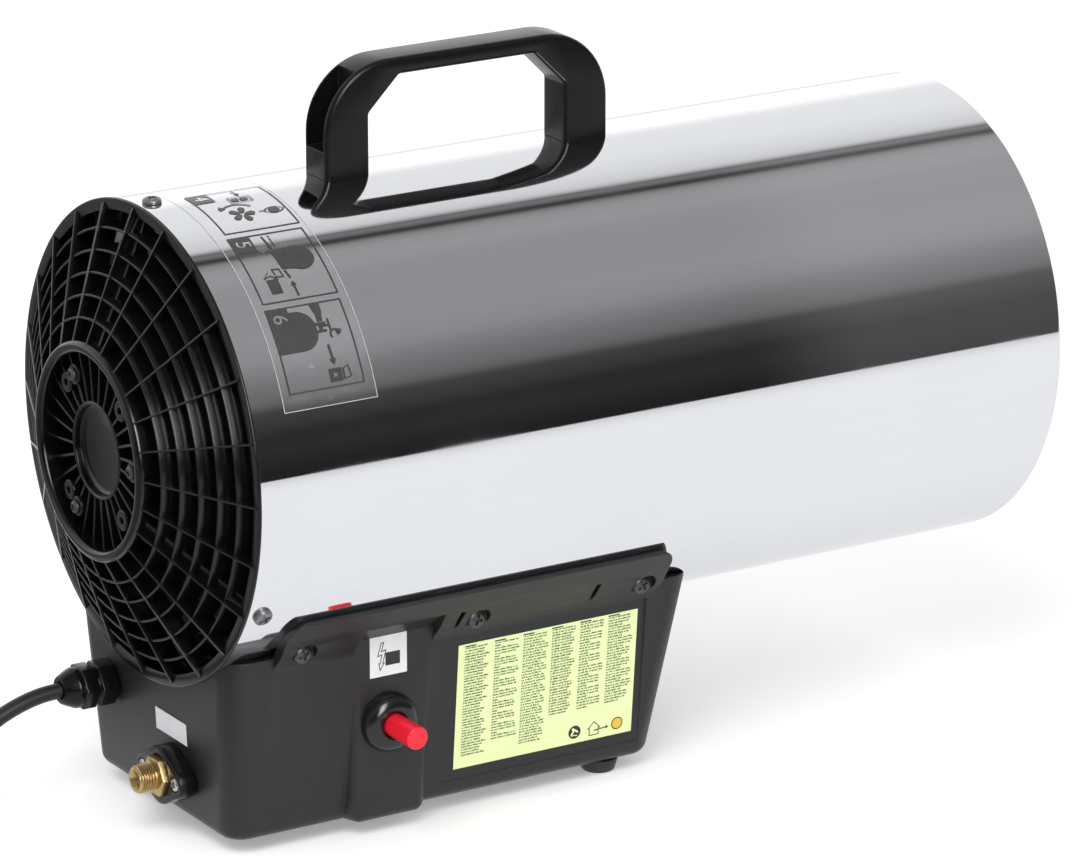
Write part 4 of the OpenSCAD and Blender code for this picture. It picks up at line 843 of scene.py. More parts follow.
def placed(name: str, data: bpy.types.ID) -> bpy.types.Object:
    """Adds an object to the scene.

    Args:
        name: its name.
        data: its mesh, curve, camera or light.

    Returns:
        The object.
    """
    made = bpy.data.objects.new(name, data)
    bpy.context.scene.collection.objects.link(made)
    return made


def extent(node: str) -> tuple[Vector, Vector, Vector]:
    """Gives the low corner, middle and high corner of a CAD node, in millimetres."""
    low, high = (Vector(corner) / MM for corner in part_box(node))
    return low, (low + high) / 2, high


class Repeater:
    """Geometry Nodes groups that repeat or smooth a piece."""

    def __init__(self) -> None:
        """Builds the groups."""
        self.ring = self.ring_group()
        self.rows = self.rows_group()
        self.smooth = self.smooth_group()

    @staticmethod
    def group(name: str, sockets: Sequence[tuple[str, str]]
              ) -> tuple[Graph, Sock, dict[str, Sock]]:
        """Starts a group with a geometry input and output.

        Args:
            name: the group's name.
            sockets: name and kind of each further input.

        Returns:
            The graph, its incoming geometry, and its other inputs by name.
        """
        tree = bpy.data.node_groups.new(name, "GeometryNodeTree")
        face = tree.interface
        face.new_socket(name="Geometry", in_out="INPUT", socket_type="NodeSocketGeometry")
        for label, kind in sockets:
            face.new_socket(name=label, in_out="INPUT", socket_type=f"NodeSocket{kind}")
        face.new_socket(name="Geometry", in_out="OUTPUT", socket_type="NodeSocketGeometry")
        graph = Graph(tree)
        source = tree.nodes.new("NodeGroupInput")
        given = {label: Sock(graph, source.outputs[label]) for label, _ in sockets}
        return graph, Sock(graph, source.outputs["Geometry"]), given

    @staticmethod
    def close(graph: Graph, geometry: Sock, finish: Optional[Sock]) -> bpy.types.NodeTree:
        """Ends a group with Realize Instances and Set Material.

        Args:
            graph: the group's graph.
            geometry: what it hands out.
            finish: the material, or nothing to leave it.

        Returns:
            The tree.
        """
        if finish is not None:
            geometry = graph.node("GeometryNodeRealizeInstances", {"Geometry": geometry})
            geometry = graph.node("GeometryNodeSetMaterial",
                                  {"Geometry": geometry, "Material": finish})
        sink = graph.tree.nodes.new("NodeGroupOutput")
        graph.feed(sink.inputs["Geometry"], geometry)
        return graph.tree

    def ring_group(self) -> bpy.types.NodeTree:
        """Builds the group that repeats a piece round the barrel's axis.

        Returns:
            The tree.
        """
        graph, piece, given = self.group("repeat_round_axis", [
            ("Count", "Int"), ("First Turn", "Float"), ("Step", "Float"),
            ("Centre", "Vector"), ("Material", "Material")])
        centred = graph.node("GeometryNodeTransform", {
            "Geometry": piece, "Translation": given["Centre"] * (-1.0, -1.0, -1.0)})
        line = graph.node("GeometryNodeMeshLine", {"Count": given["Count"],
                                                   "Start Location": given["Centre"],
                                                   "Offset": (0.0, 0.0, 0.0)})
        turn = graph.node("GeometryNodeInputIndex") * given["Step"] + given["First Turn"]
        spin = graph.node("ShaderNodeCombineXYZ", {"X": turn})
        made = graph.node("GeometryNodeInstanceOnPoints", {
            "Points": line, "Instance": centred, "Rotation": spin})
        return self.close(graph, made, given["Material"])

    def rows_group(self) -> bpy.types.NodeTree:
        """Builds the group that repeats a piece in rows, each a little shorter or longer.

        Returns:
            The tree.
        """
        graph, piece, given = self.group("repeat_in_rows", [
            ("Count", "Int"), ("First", "Vector"), ("Offset", "Vector"),
            ("Least Width", "Float"), ("Seed", "Int"), ("Material", "Material")])
        line = graph.node("GeometryNodeMeshLine", {"Count": given["Count"],
                                                   "Start Location": given["First"],
                                                   "Offset": given["Offset"]})
        width = graph.node("FunctionNodeRandomValue", {
            2: given["Least Width"], 3: 1.0, "Seed": given["Seed"]}, 1, data_type="FLOAT")
        scale = graph.node("ShaderNodeCombineXYZ", {"X": width, "Y": 1.0, "Z": 1.0})
        made = graph.node("GeometryNodeInstanceOnPoints", {
            "Points": line, "Instance": piece, "Scale": scale})
        return self.close(graph, made, given["Material"])

    def smooth_group(self) -> bpy.types.NodeTree:
        """Builds the group that merges loose triangles and smooths all but sharp edges.

        Returns:
            The tree.
        """
        graph, piece, given = self.group("merge_and_smooth", [
            ("Distance", "Float"), ("Angle", "Float")])
        made = graph.node("GeometryNodeMergeByDistance", {
            "Geometry": piece, "Distance": given["Distance"]})
        made = graph.node("GeometryNodeSetShadeSmooth", {
            "Geometry": made, "Shade Smooth": True})
        bend = graph.node("GeometryNodeInputMeshEdgeAngle")
        made = graph.node("GeometryNodeStoreNamedAttribute", {
            "Geometry": made, "Name": "sharp_edge", "Value": bend.over(given["Angle"])},
            data_type="BOOLEAN", domain="EDGE")
        return self.close(graph, made, None)

    @staticmethod
    def apply(piece: bpy.types.Object, tree: bpy.types.NodeTree, **given: Any
              ) -> bpy.types.Modifier:
        """Puts a group on an object as a modifier.

        Args:
            piece: the object.
            tree: the group.
            **given: its inputs by name, with _ for a space; the material is the object's.

        Returns:
            The modifier.
        """
        given["Material"] = piece.active_material
        made = piece.modifiers.new(tree.name, "NODES")
        made.node_group = tree
        for item in tree.interface.items_tree:
            key = item.name.replace(" ", "_")
            if item.in_out == "INPUT" and key in given:
                made[item.identifier] = given[key]
        return made


class Maker:
    """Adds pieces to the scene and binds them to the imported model."""

    WELD_GAP = 0.004
    MERGE_GAP = 0.002
    FLAT_ANGLE = 0.6
    KEPT_SHARP = 30.0

    def __init__(self, frame: Mapping[str, Any]) -> None:
        """Starts with the loaded model.
        """
        self.frame = frame
        self.slots = {each["slot"] for each in frame["record"]["materials"]}
        self.shop = Workshop()
        self.repeater = Repeater()

    def piece(self, name: str, shape: Shape, finish: Finish, body: Body = Body.HOUSING,
              replaces: Sequence[str] = (), sharp: float = SHARP_FROM) -> bpy.types.Object:
        """Adds a piece.

        Args:
            name: its name.
            shape: its shape.
            finish: its finish.
            body: the body that it rides on.
            replaces: the CAD nodes that it stands for.
            sharp: angle from which its edges stay sharp, in degrees.

        Returns:
            The object.
        """
        made = placed(name, shape.mesh(name, self.shop.material(finish), sharp))
        self.bind(made, finish, body, replaces)
        return made

    def bind(self, made: bpy.types.Object, finish: Finish, body: Body,
             replaces: Sequence[str]) -> None:
        """Hangs a piece on a body and hides the CAD nodes that it stands for.

        Args:
            made: the piece.
            finish: its finish.
            body: the body that it rides on.
            replaces: the CAD nodes that it stands for.
        """
        LOG.info("piece %s, %s, on %s", made.name, finish.name, body.value)
        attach(made, body.value)
        if replaces:
            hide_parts(*replaces)

    @staticmethod
    def flatten(piece: bpy.types.Object, sharp: float = SHARP_FROM) -> None:
        """Turns a piece with modifiers into a plain mesh.

        Args:
            piece: the object.
            sharp: angle from which its edges stay sharp, in degrees.
        """
        graph = bpy.context.evaluated_depsgraph_get()
        mesh = bpy.data.meshes.new_from_object(piece.evaluated_get(graph))
        piece.modifiers.clear()
        old, name = piece.data, piece.data.name
        piece.data = mesh
        bpy.data.meshes.remove(old)
        mesh.name = name
        mesh.polygons.foreach_set("use_smooth", [True] * len(mesh.polygons))
        mesh.set_sharp_from_angle(angle=math.radians(sharp))

    def round_axis(self, name: str, shape: Shape, finish: Finish, count: int,
                   first: float = 0.0, replaces: Sequence[str] = (),
                   sharp: float = SHARP_FROM) -> None:
        """Adds a piece repeated evenly round the barrel's axis.

        Args:
            name: its name.
            shape: the shape at turn 0.
            finish: its finish.
            count: how many there are.
            first: turn of the first one.
            replaces: the CAD nodes that it stands for.
            sharp: angle from which its edges stay sharp, in degrees.
        """
        made = self.piece(name, shape, finish, replaces=replaces, sharp=sharp)
        self.repeater.apply(made, self.repeater.ring, Count=count,
                            First_Turn=-math.radians(first),
                            Step=-math.radians(360 / count),
                            Centre=DATUM.point(0, 0, 0) * MM)
        self.flatten(made, sharp)

    def keep(self, node: str, finish: Finish, soften: float) -> None:
        """Keeps a CAD node, merged and smoothed, with a material of its own.

        Args:
            node: the node's name.
            finish: its finish.
            soften: width that its edges are bevelled to, in millimetres.
        """
        made = self.frame["nodes"][node]
        sharp = math.radians(self.KEPT_SHARP)
        material = self.shop.material(finish)
        for slot in made.material_slots:
            slot.link = "OBJECT"
            slot.material = material
        if soften > 0:
            for kind, settings in (
                    ("WELD", {"merge_threshold": self.WELD_GAP * MM}),
                    ("DECIMATE", {"decimate_type": "DISSOLVE",
                                  "angle_limit": math.radians(self.FLAT_ANGLE)}),
                    ("BEVEL", {"width": soften * MM, "segments": 2,
                               "limit_method": "ANGLE", "angle_limit": sharp,
                               "use_clamp_overlap": True, "harden_normals": False})):
                modifier = made.modifiers.new(kind.lower(), kind)
                for key, setting in settings.items():
                    setattr(modifier, key, setting)
        self.repeater.apply(made, self.repeater.smooth, Distance=self.MERGE_GAP * MM,
                            Angle=sharp)

    @staticmethod
    def carve(shape: Shape, cutter: Shape) -> Shape:
        """Cuts one shape out of another.

        Args:
            shape: the shape that is cut.
            cutter: what is cut away.

        Returns:
            The cut shape.
        """
        objects = [placed(label, each.mesh(label))
                   for label, each in (("carve_body", shape), ("carve_tool", cutter))]
        cut = objects[0].modifiers.new("cut", "BOOLEAN")
        cut.object = objects[1]
        cut.solver = "EXACT"
        graph = bpy.context.evaluated_depsgraph_get()
        mesh = bpy.data.meshes.new_from_object(objects[0].evaluated_get(graph))
        made = Shape([v.co / MM for v in mesh.vertices],
                     [tuple(p.vertices) for p in mesh.polygons])
        for each in objects:
            old = each.data
            bpy.data.objects.remove(each)
            bpy.data.meshes.remove(old)
        bpy.data.meshes.remove(mesh)
        return made


# Studio


@dataclass(frozen=True)
class StudioSize:
    """Camera and floor, in millimetres, and the lights, in metres.

    The walls are pairs of an angle round the barrel's axis, in degrees, and the brightness
    that its polish mirrors from there.
    """

    azimuth: float = -31.69
    elevation: float = 17.88
    distance: float = 2848.0
    target: Point3 = (3.0, -11.0, 154.0)
    lens: float = 204.9
    sensor: float = 36.0
    floor_front: float = 1360.0
    floor_back: float = 6000.0
    floor_side: float = 6000.0
    surroundings: float = 0.9
    floor_colour: Point3 = (0.86, 0.86, 0.865)
    floor_glow: float = 0.14
    floor_lift: float = 0.13
    floor_dark: Span = (-0.4, -0.24, 0.2, 0.97)
    floor_fade: Span = (-1.55, -0.75, 0.66, 1.0)
    floor_near: Span = (-0.15, 0.02, 1.0, 0.9)
    floor_tint: Point3 = (1.0, 1.004, 1.015)
    floor_share: float = 0.85
    side_light: float = 14.0
    side_light_x: Span = (-0.3, -0.16, 0.0, 0.14)
    side_light_turn: Span = (4.0, 16.0, 34.0, 56.0)
    key_power: float = 34.0
    key_size: float = 1.6
    key_place: Point3 = (-1.3, -1.2, 2.2)
    key_aim: Point3 = (0.0, 0.0, 0.12)
    walls: Stops = (
        (-180, 1.3), (-170, 0.9), (-60, 0.9), (-12, 0.012), (6, 0.03), (11, 0.026),
        (18, 0.05), (23, 0.06), (26, 0.14), (29, 0.17), (34, 0.2), (40, 0.25), (46, 0.31),
        (56, 0.34), (72, 0.33), (84, 0.34), (91, 0.37), (97, 0.35), (100.5, 0.28),
        (101.8, 0.15), (102.8, 0.05), (104.6, 0.05), (105.6, 0.17), (107.1, 0.21),
        (108.7, 0.14), (109.9, 0.53), (111.5, 0.72), (118, 0.82), (128, 0.92), (150, 0.95),
        (160, 1.3), (180, 1.3))


@dataclass(frozen=True)
class Studio:
    """White studio whose walls show in the polished barrel."""

    size: StudioSize

    def build(self) -> None:
        """Makes the camera, world, floor and lamp."""
        scene = bpy.context.scene
        scene.view_settings.view_transform = "Standard"
        scene.view_settings.look = "None"
        scene.view_settings.exposure = 0.0
        scene.view_settings.gamma = 1.0
        scene.cycles.max_bounces = 10
        scene.cycles.glossy_bounces = 6
        scene.cycles.transparent_max_bounces = 16
        scene.cycles.sample_clamp_indirect = 6.0
        self.camera()
        self.world()
        self.floor()
        self.lamp()

    def camera(self) -> None:
        """Places the camera."""
        size = self.size
        a, e = math.radians(size.azimuth), math.radians(size.elevation)
        back = Vector((math.sin(a) * math.cos(e), -math.cos(a) * math.cos(e), math.sin(e)))
        data = bpy.data.cameras.new("camera")
        data.lens = size.lens
        data.sensor_width = size.sensor
        data.sensor_fit = "HORIZONTAL"
        data.clip_start, data.clip_end = 0.1, 40.0
        made = placed("camera", data)
        made.rotation_mode = "QUATERNION"
        made.location = (Vector(size.target) + back * size.distance) * MM
        made.rotation_quaternion = (-back).to_track_quat("-Z", "Y")
        bpy.context.scene.camera = made

    def world(self) -> None:
        """Makes the world: white for the camera, walls for mirrors, even for the rest."""
        world = bpy.data.worlds.new("studio")
        bpy.context.scene.world = world
        world.use_nodes = True
        world.node_tree.nodes.clear()
        graph = Graph(world.node_tree)
        way = graph.node("ShaderNodeTexCoord", out="Generated")
        apart = graph.node("ShaderNodeSeparateXYZ", {0: way})
        turn = graph.calc("ARCTAN2", apart.beside("Z"), -apart.beside("Y"))
        size = self.size
        top = max(v for _, v in size.walls)
        walls = graph.ramp(turn / (2 * math.pi) + 0.5, [
            ((t + 180) / 360, v / top) for t, v in size.walls]) * top
        first, second, third, last = (math.radians(t) for t in size.side_light_turn)
        left, middle, right, end = size.side_light_x
        walls = walls + (graph.spread(turn, first, second, 0.0, size.side_light)
                         * graph.spread(turn, third, last, 1.0, 0.0)
                         * graph.spread(apart, left, middle)
                         * graph.spread(apart, right, end, 1.0, 0.0))
        camera = graph.node("ShaderNodeLightPath", out="Is Camera Ray")
        even = size.surroundings
        colour = graph.mix(camera.beside("Is Glossy Ray"), (even, even, even), walls)
        colour = graph.mix(camera, colour, (1.0, 1.0, 1.0))
        light = graph.node("ShaderNodeBackground", {"Color": colour, "Strength": 1.0})
        graph.node("ShaderNodeOutputWorld", {"Surface": light})

    def floor(self) -> None:
        """Makes the floor, which ends in front so that its edge shows in the barrel."""
        size = self.size
        shape = Shape().cap([Vector((x, y, 0)) for x, y in (
            (-size.floor_side, -size.floor_front), (size.floor_side, -size.floor_front),
            (size.floor_side, size.floor_back), (-size.floor_side, size.floor_back))])
        material = bpy.data.materials.new("floor_white")
        material.use_nodes = True
        graph = Graph(material.node_tree)
        nodes = material.node_tree.nodes
        nodes.remove(nodes["Principled BSDF"])
        camera = graph.node("ShaderNodeLightPath", out="Is Camera Ray")
        plain = graph.node("ShaderNodeBsdfDiffuse", {"Color": size.floor_colour})
        glow, lift = (graph.node("ShaderNodeEmission", {"Color": 1.0, "Strength": strength})
                      for strength in (size.floor_glow, size.floor_lift))
        seen = graph.node("ShaderNodeAddShader", {0: plain, 1: glow})
        bright = graph.node("ShaderNodeAddShader", {0: seen, 1: lift})
        seen = graph.node("ShaderNodeMixShader", {0: camera, 1: seen, 2: bright})
        place = graph.node("ShaderNodeTexCoord", out="Object")
        across = graph.node("ShaderNodeSeparateXYZ", {0: place})
        depth = across.beside("Y")
        white = (graph.spread(across, *size.floor_dark)
                 * graph.spread(depth, *size.floor_fade)
                 * graph.spread(depth, *size.floor_near))
        mirrored = graph.node("ShaderNodeEmission", {"Color": graph.mix(
            white, (0.0, 0.0, 0.0), size.floor_tint), "Strength": 1.0})
        both = graph.node("ShaderNodeMixShader", {
            0: camera.beside("Is Glossy Ray") * size.floor_share, 1: seen, 2: mirrored})
        graph.feed(nodes["Material Output"].inputs["Surface"], both)
        made = placed("floor", shape.mesh("floor", material))

    def lamp(self) -> None:
        """Makes one soft lamp, unseen in mirrors."""
        size = self.size
        data = bpy.data.lights.new("key", "AREA")
        data.shape = "DISK"
        data.size = size.key_size
        data.energy = size.key_power
        made = placed("key", data)
        made.location = size.key_place
        made.rotation_mode = "QUATERNION"
        aim = Vector(size.key_aim) - Vector(size.key_place)
        made.rotation_quaternion = aim.to_track_quat("-Z", "Y")
        made.visible_glossy = False
        made.visible_camera = False


# Pieces


SizeT = TypeVar("SizeT")


@dataclass
class Assembly(Generic[SizeT]):
    """A sub-assembly, made from its own sizes."""

    size: SizeT
    maker: Maker

    def build(self) -> None:
        """Adds the pieces."""
        raise NotImplementedError


@dataclass(frozen=True)
class BarrelSize:
    """The barrel's edges."""

    hem_r: float = 1.3
    segments: int = 320


class Barrel(Assembly[BarrelSize]):
    """The polished barrel, with a rolled hem at the front."""

    def build(self) -> None:
        """Adds the barrel."""
        r, inner, end, hem = DATUM.barrel_r, DATUM.inner_r, DATUM.barrel_l, self.size.hem_r
        profile = [(inner, 0.25), (inner + 0.2, 0.0), (r - 0.25, 0.0), (r, 0.3), (r, 1.0),
                   (r, end - hem - 0.2)]
        profile += arc((r - hem, end - hem), hem, 0, 262, 18)
        profile += [(inner, end - 2 * hem - 0.4), (inner, 1.0)]
        shape = Shape().lathe(profile, DATUM.on_axis(), self.size.segments)
        self.maker.piece("barrel_shell", shape, STEEL, replaces=["barrel"])


@dataclass(frozen=True)
class GrilleSize:
    """The intake grille."""

    cone: float = 0.4415
    band_r: float = 109.16
    band_w: float = 4.2
    band_x: float = -1.4
    lip_r: float = 110.9
    skirt: float = 16.0
    ring_radii: tuple[float, ...] = (97.83, 88.32, 78.82, 69.31, 59.81)
    ring_t: float = 1.1
    rib_t: float = 1.0
    rib_soft: float = 0.25
    rib_over: float = 0.7
    ring_draft: Point2 = (0.8, 1.7)
    rib_depth: float = 10.0
    rib_count: int = 24
    hub_r: float = 50.3
    hub_bore_r: float = 44.7
    hub_x: float = -28.0
    hub_end: float = -10.3
    cap_r: float = 22.6
    cap_wall: float = 1.9
    fin_count: int = 28
    fin_t: float = 1.4
    fin_x: float = -22.6
    fin_depth: float = 9.0
    boss_r: float = 4.9
    boss_hole_r: float = 1.7
    boss_ring_r: float = 36.0
    boss_x: float = -23.9
    block_w: float = 6.5
    block_x: float = 15.0
    spoke_w: float = 11.0
    spoke_x: Point2 = (4.0, 12.0)
    screws: int = 3
    soft: float = 0.5


class IntakeGrille(Assembly[GrilleSize]):
    """The moulded grille: rings, ribs, hub, cooling fins and screw bosses."""

    SHARP = 40.0

    def cone_x(self, r: float) -> float:
        """Gives the place of the grille's cone at a radius."""
        return (r - DATUM.barrel_r) * self.size.cone

    def plate(self, outline: Sequence[Point2], width: float, soft: float) -> Shape:
        """Makes an upright plate at turn 0.

        Args:
            outline: its outline, in places along the barrel and radii.
            width: its thickness.
            soft: radius of its edges.

        Returns:
            The plate.
        """
        at = DATUM.spoke(0) @ Matrix.Rotation(math.pi / 2, 4, "X") @ Matrix.Translation(
            (0, 0, -width / 2))
        return Shape().prism(outline, width, at, soft)

    def build(self) -> None:
        """Adds the grille's pieces."""
        self.frame()
        self.ribs()
        self.fins()
        self.bosses()
        self.blocks()
        self.spokes()

    def frame(self) -> None:
        """Adds the band, the rings, the hub and its cap, turned round the axis."""
        size = self.size
        frame = Shape()
        inner = size.band_r - size.band_w
        step = size.band_r - 2
        frame.lathe(rounded([
            (inner, size.band_x, 0.9), (size.lip_r, size.band_x, 0.6), (size.lip_r, -0.08, 0.1),
            (size.band_r, -0.08, 0.0), (size.band_r, size.skirt, 0.3), (step, size.skirt, 0.3),
            (step, size.rib_depth / 2, 0.2), (inner, size.rib_depth / 2, 0.3)]),
            DATUM.on_axis(), 288)
        for r in size.ring_radii:
            x, half = self.cone_x(r), size.ring_t / 2
            low, high = size.ring_draft
            frame.lathe(rounded([
                (r - half, x, size.rib_soft), (r + half, x, size.rib_soft),
                (r + half + 0.2 * high, x + 4, 7.0),
                (r + half + high, x + size.rib_depth, 0.4),
                (r - half - low, x + size.rib_depth, 0.4)], 0.0, 4), DATUM.on_axis(), 224)
        frame.lathe(rounded([
            (size.hub_bore_r, size.hub_x, 2.5), (size.hub_r, size.hub_x, 2.6),
            (size.hub_r, size.hub_end, 0.3), (size.hub_bore_r, size.hub_end, 0.3)], 0.3, 6),
            DATUM.on_axis(), 224)
        wall = size.cap_r - size.cap_wall
        frame.lathe(rounded([
            (0, -16.6), (0.5 * wall, -17.0, 6.0), (wall - 2, -18.7, 3.0), (wall, -19.4, 0.8),
            (wall, size.boss_x + 1, 0.9),
            (size.cap_r, size.boss_x + 1, 0.9), (size.cap_r, size.hub_end, 0.3),
            (wall, size.hub_end, 0.2), (wall, -15.9, 0.5), (0, -15.9)], 0.0, 4),
            DATUM.on_axis(), 128)
        self.maker.piece("grille_frame", frame, GRILLE, replaces=["intake_grille"],
                         sharp=self.SHARP)

    def around(self, name: str, shape: Shape, count: int, first: float = 0.0) -> None:
        """Adds a piece of the grille repeated round its axis."""
        self.maker.round_axis(name, shape, GRILLE, count, first=first, sharp=self.SHARP)

    def ribs(self) -> None:
        """Adds the thin ribs that carry the rings."""
        size = self.size
        near, far = size.hub_bore_r + 2.7, size.band_r - 0.2
        rear = self.cone_x(size.band_r - size.band_w) + size.rib_depth
        self.around("grille_ribs", self.plate([
            (self.cone_x(near) + size.rib_depth, near),
            (rear, size.band_r - 0.8 * size.band_w), (size.rib_depth / 3, far),
            (size.band_x - size.rib_over, far), (self.cone_x(near), near)],
            size.rib_t, size.rib_soft), size.rib_count)

    def fins(self) -> None:
        """Adds the cooling fins between the cap and the hub."""
        size = self.size
        near, far = size.cap_r - 1, size.hub_bore_r + 1
        low, high = size.fin_x, size.fin_x + size.fin_depth
        self.around("grille_fins", self.plate([
            (high, near), (high, far), (low, far), (low, near)], size.fin_t, size.soft),
            size.fin_count, 180 / size.fin_count)

    def bosses(self) -> None:
        """Adds the bosses of the motor's screws, and the spare ones."""
        size = self.size
        boss = Shape().lathe(rounded([
            (size.boss_hole_r, size.boss_x, 0.3), (size.boss_r, size.boss_x, 0.8),
            (size.boss_r, size.hub_end, 0.2), (size.boss_hole_r, size.hub_end, 0.2)]),
            Matrix.Translation((0, -size.boss_ring_r, 0)) @ DATUM.on_axis(), 40)
        self.around("grille_bosses", boss, size.screws)
        self.around("grille_spare_bosses", boss, 4, 45)

    def blocks(self) -> None:
        """Adds the blocks that the grille's own screws go into."""
        size = self.size
        low, far = size.ring_radii[0], size.band_r - 1
        self.around("grille_blocks", self.plate([
            (size.block_x, low), (size.block_x, far), (-0.2, far),
            (-0.2, size.band_r - 0.8 * size.band_w), (self.cone_x(low) + 0.6, low)],
            size.block_w, size.soft), size.screws, 90)

    def spokes(self) -> None:
        """Adds the wide spokes behind the rings."""
        size = self.size
        near, far = size.hub_bore_r + 2.2, size.band_r - 0.3 * size.band_w
        low, high = size.spoke_x
        self.around("grille_spokes", self.plate([
            (self.cone_x(near) + high, near), (self.cone_x(far) + high, far),
            (self.cone_x(far) + low, far), (self.cone_x(near) + low, near)],
            size.spoke_w, size.soft), size.screws, 90)


@dataclass(frozen=True)
class ScrewSize:
    """A pan-head screw."""

    head_r: float = 4.4
    head_h: float = 2.6
    slot_w: float = 1.5
    slot_l: float = 5.4
    slot_depth: float = 1.3


@dataclass(frozen=True)
class ScrewRow:
    """The screws and their places: turns in radians, the rest in millimetres."""

    large: ScrewSize = ScrewSize()
    small: ScrewSize = ScrewSize(head_r=3.1, head_h=1.9, slot_w=1.1, slot_l=3.8,
                                 slot_depth=1.0)
    grille_s: float = 8.0
    grille_turn: float = 0.5
    motor_s: float = -23.95
    motor_ring_r: float = 36.0
    base_s: tuple[float, ...] = (37.5, 127.5, 216.0)
    base_y: float = 77.05
    base_rise: float = -84.0
    base_turn: Point2 = (0.35, 0.9)
    inlet_y: Point2 = (-15.0, 15.0)
    inlet_turn: Point2 = (0.8, 0.5)
    sunk: float = 0.7


class Screws(Assembly[ScrewRow]):
    """Pan-head screws with a cross recess, wherever their heads show."""

    def head(self, size: ScrewSize) -> Shape:
        """Makes one head, drawn along Z from its seat.

        Args:
            size: the screw.

        Returns:
            The head.
        """
        r, h = size.head_r, size.head_h
        profile = [(0, 0), (r - 0.15, 0), (r, 0.15), (r, 0.26 * h), (0.985 * r, 0.45 * h),
                   (0.93 * r, 0.64 * h), (0.82 * r, 0.81 * h), (0.64 * r, 0.93 * h),
                   (0.4 * r, 0.985 * h), (0.0, h)]
        body = Shape().lathe(profile, Matrix.Identity(4), 40, closed=False)
        a, b = size.slot_w / 2, size.slot_l / 2
        cross = rounded([(b, -a), (b, a), (a, a), (a, b), (-a, b), (-a, a), (-b, a),
                         (-b, -a), (-a, -a), (-a, -b), (a, -b), (a, -a)], 0.22, 2)
        cutter = Shape().prism(cross, size.slot_depth + 2, Matrix.Translation(
            (0, 0, h - size.slot_depth)))
        return self.maker.carve(body, cutter)

    def build(self) -> None:
        """Adds the screws."""
        size = self.size
        head, small = self.head(size.large), self.head(size.small)
        at = DATUM.spoke(0, size.grille_s) @ Matrix.Translation(
            (0, 0, DATUM.barrel_r + 0.05)) @ Matrix.Rotation(size.grille_turn, 4, "Z")
        self.maker.round_axis("grille_screw_heads", Shape().add(head, at), ZINC, 3, first=90,
                              replaces=["grille_screws"])
        at = facing(DATUM.point(size.motor_s, -size.motor_ring_r, 0), REARWARD)
        # the motor's screw heads take the darker steel, painted shade of the hub around them
        self.maker.round_axis("motor_screw_heads", Shape().add(small, at), SHADED_ZINC, 3,
                              replaces=["motor_screws"])
        row, (first, more) = Shape(), size.base_turn
        for index, s in enumerate(size.base_s):
            for side in (-1, 1):
                at = facing(DATUM.point(s, side * size.base_y, size.base_rise),
                            Vector((0, side, 0)))
                row.add(head, at @ Matrix.Rotation(first + more * index, 4, "Z"))
        # the base's screw heads take the darker steel, painted shade of their pockets
        self.maker.piece("base_screw_heads", row, SHADED_ZINC, replaces=["base_screws"])
        low, middle, _ = extent("inlet_screws")
        pair, (first, more) = Shape(), size.inlet_turn
        for y in size.inlet_y:
            at = facing(Vector((low.x + size.small.head_h - size.sunk, middle.y + y,
                                middle.z)), REARWARD)
            pair.add(small, at @ Matrix.Rotation(first + more * y, 4, "Z"))
        self.maker.piece("inlet_screw_heads", pair, BRIGHT, replaces=["inlet_screws"])


@dataclass(frozen=True)
class LeadSize:
    """The mains lead and its plug."""

    diameter: float = 7.4
    coil_r: float = 54.0
    coil_y: float = 82.0
    coil_x: float = -344.0
    pitch: float = 8.1
    turns: float = 4.5
    turns_in: float = 2.0
    turns_down: float = 0.5
    turn_steps: int = 48
    low: float = 3.7
    neck_r: float = 6.5
    neck_l: float = 18.0
    body_l: float = 36.0
    pin_r: float = 2.4
    pin_l: float = 19.0
    pin_y: float = 9.5
    plug_at: Point3 = (-285.0, 136.0, 18.5)
    tie_turn: float = 205.0
    tie_half: Point2 = (9.6, 8.5)
    neck_ribs: int = 6
    neck_step: float = 2.7
    core_r: float = 3.0
    step: float = 3.0


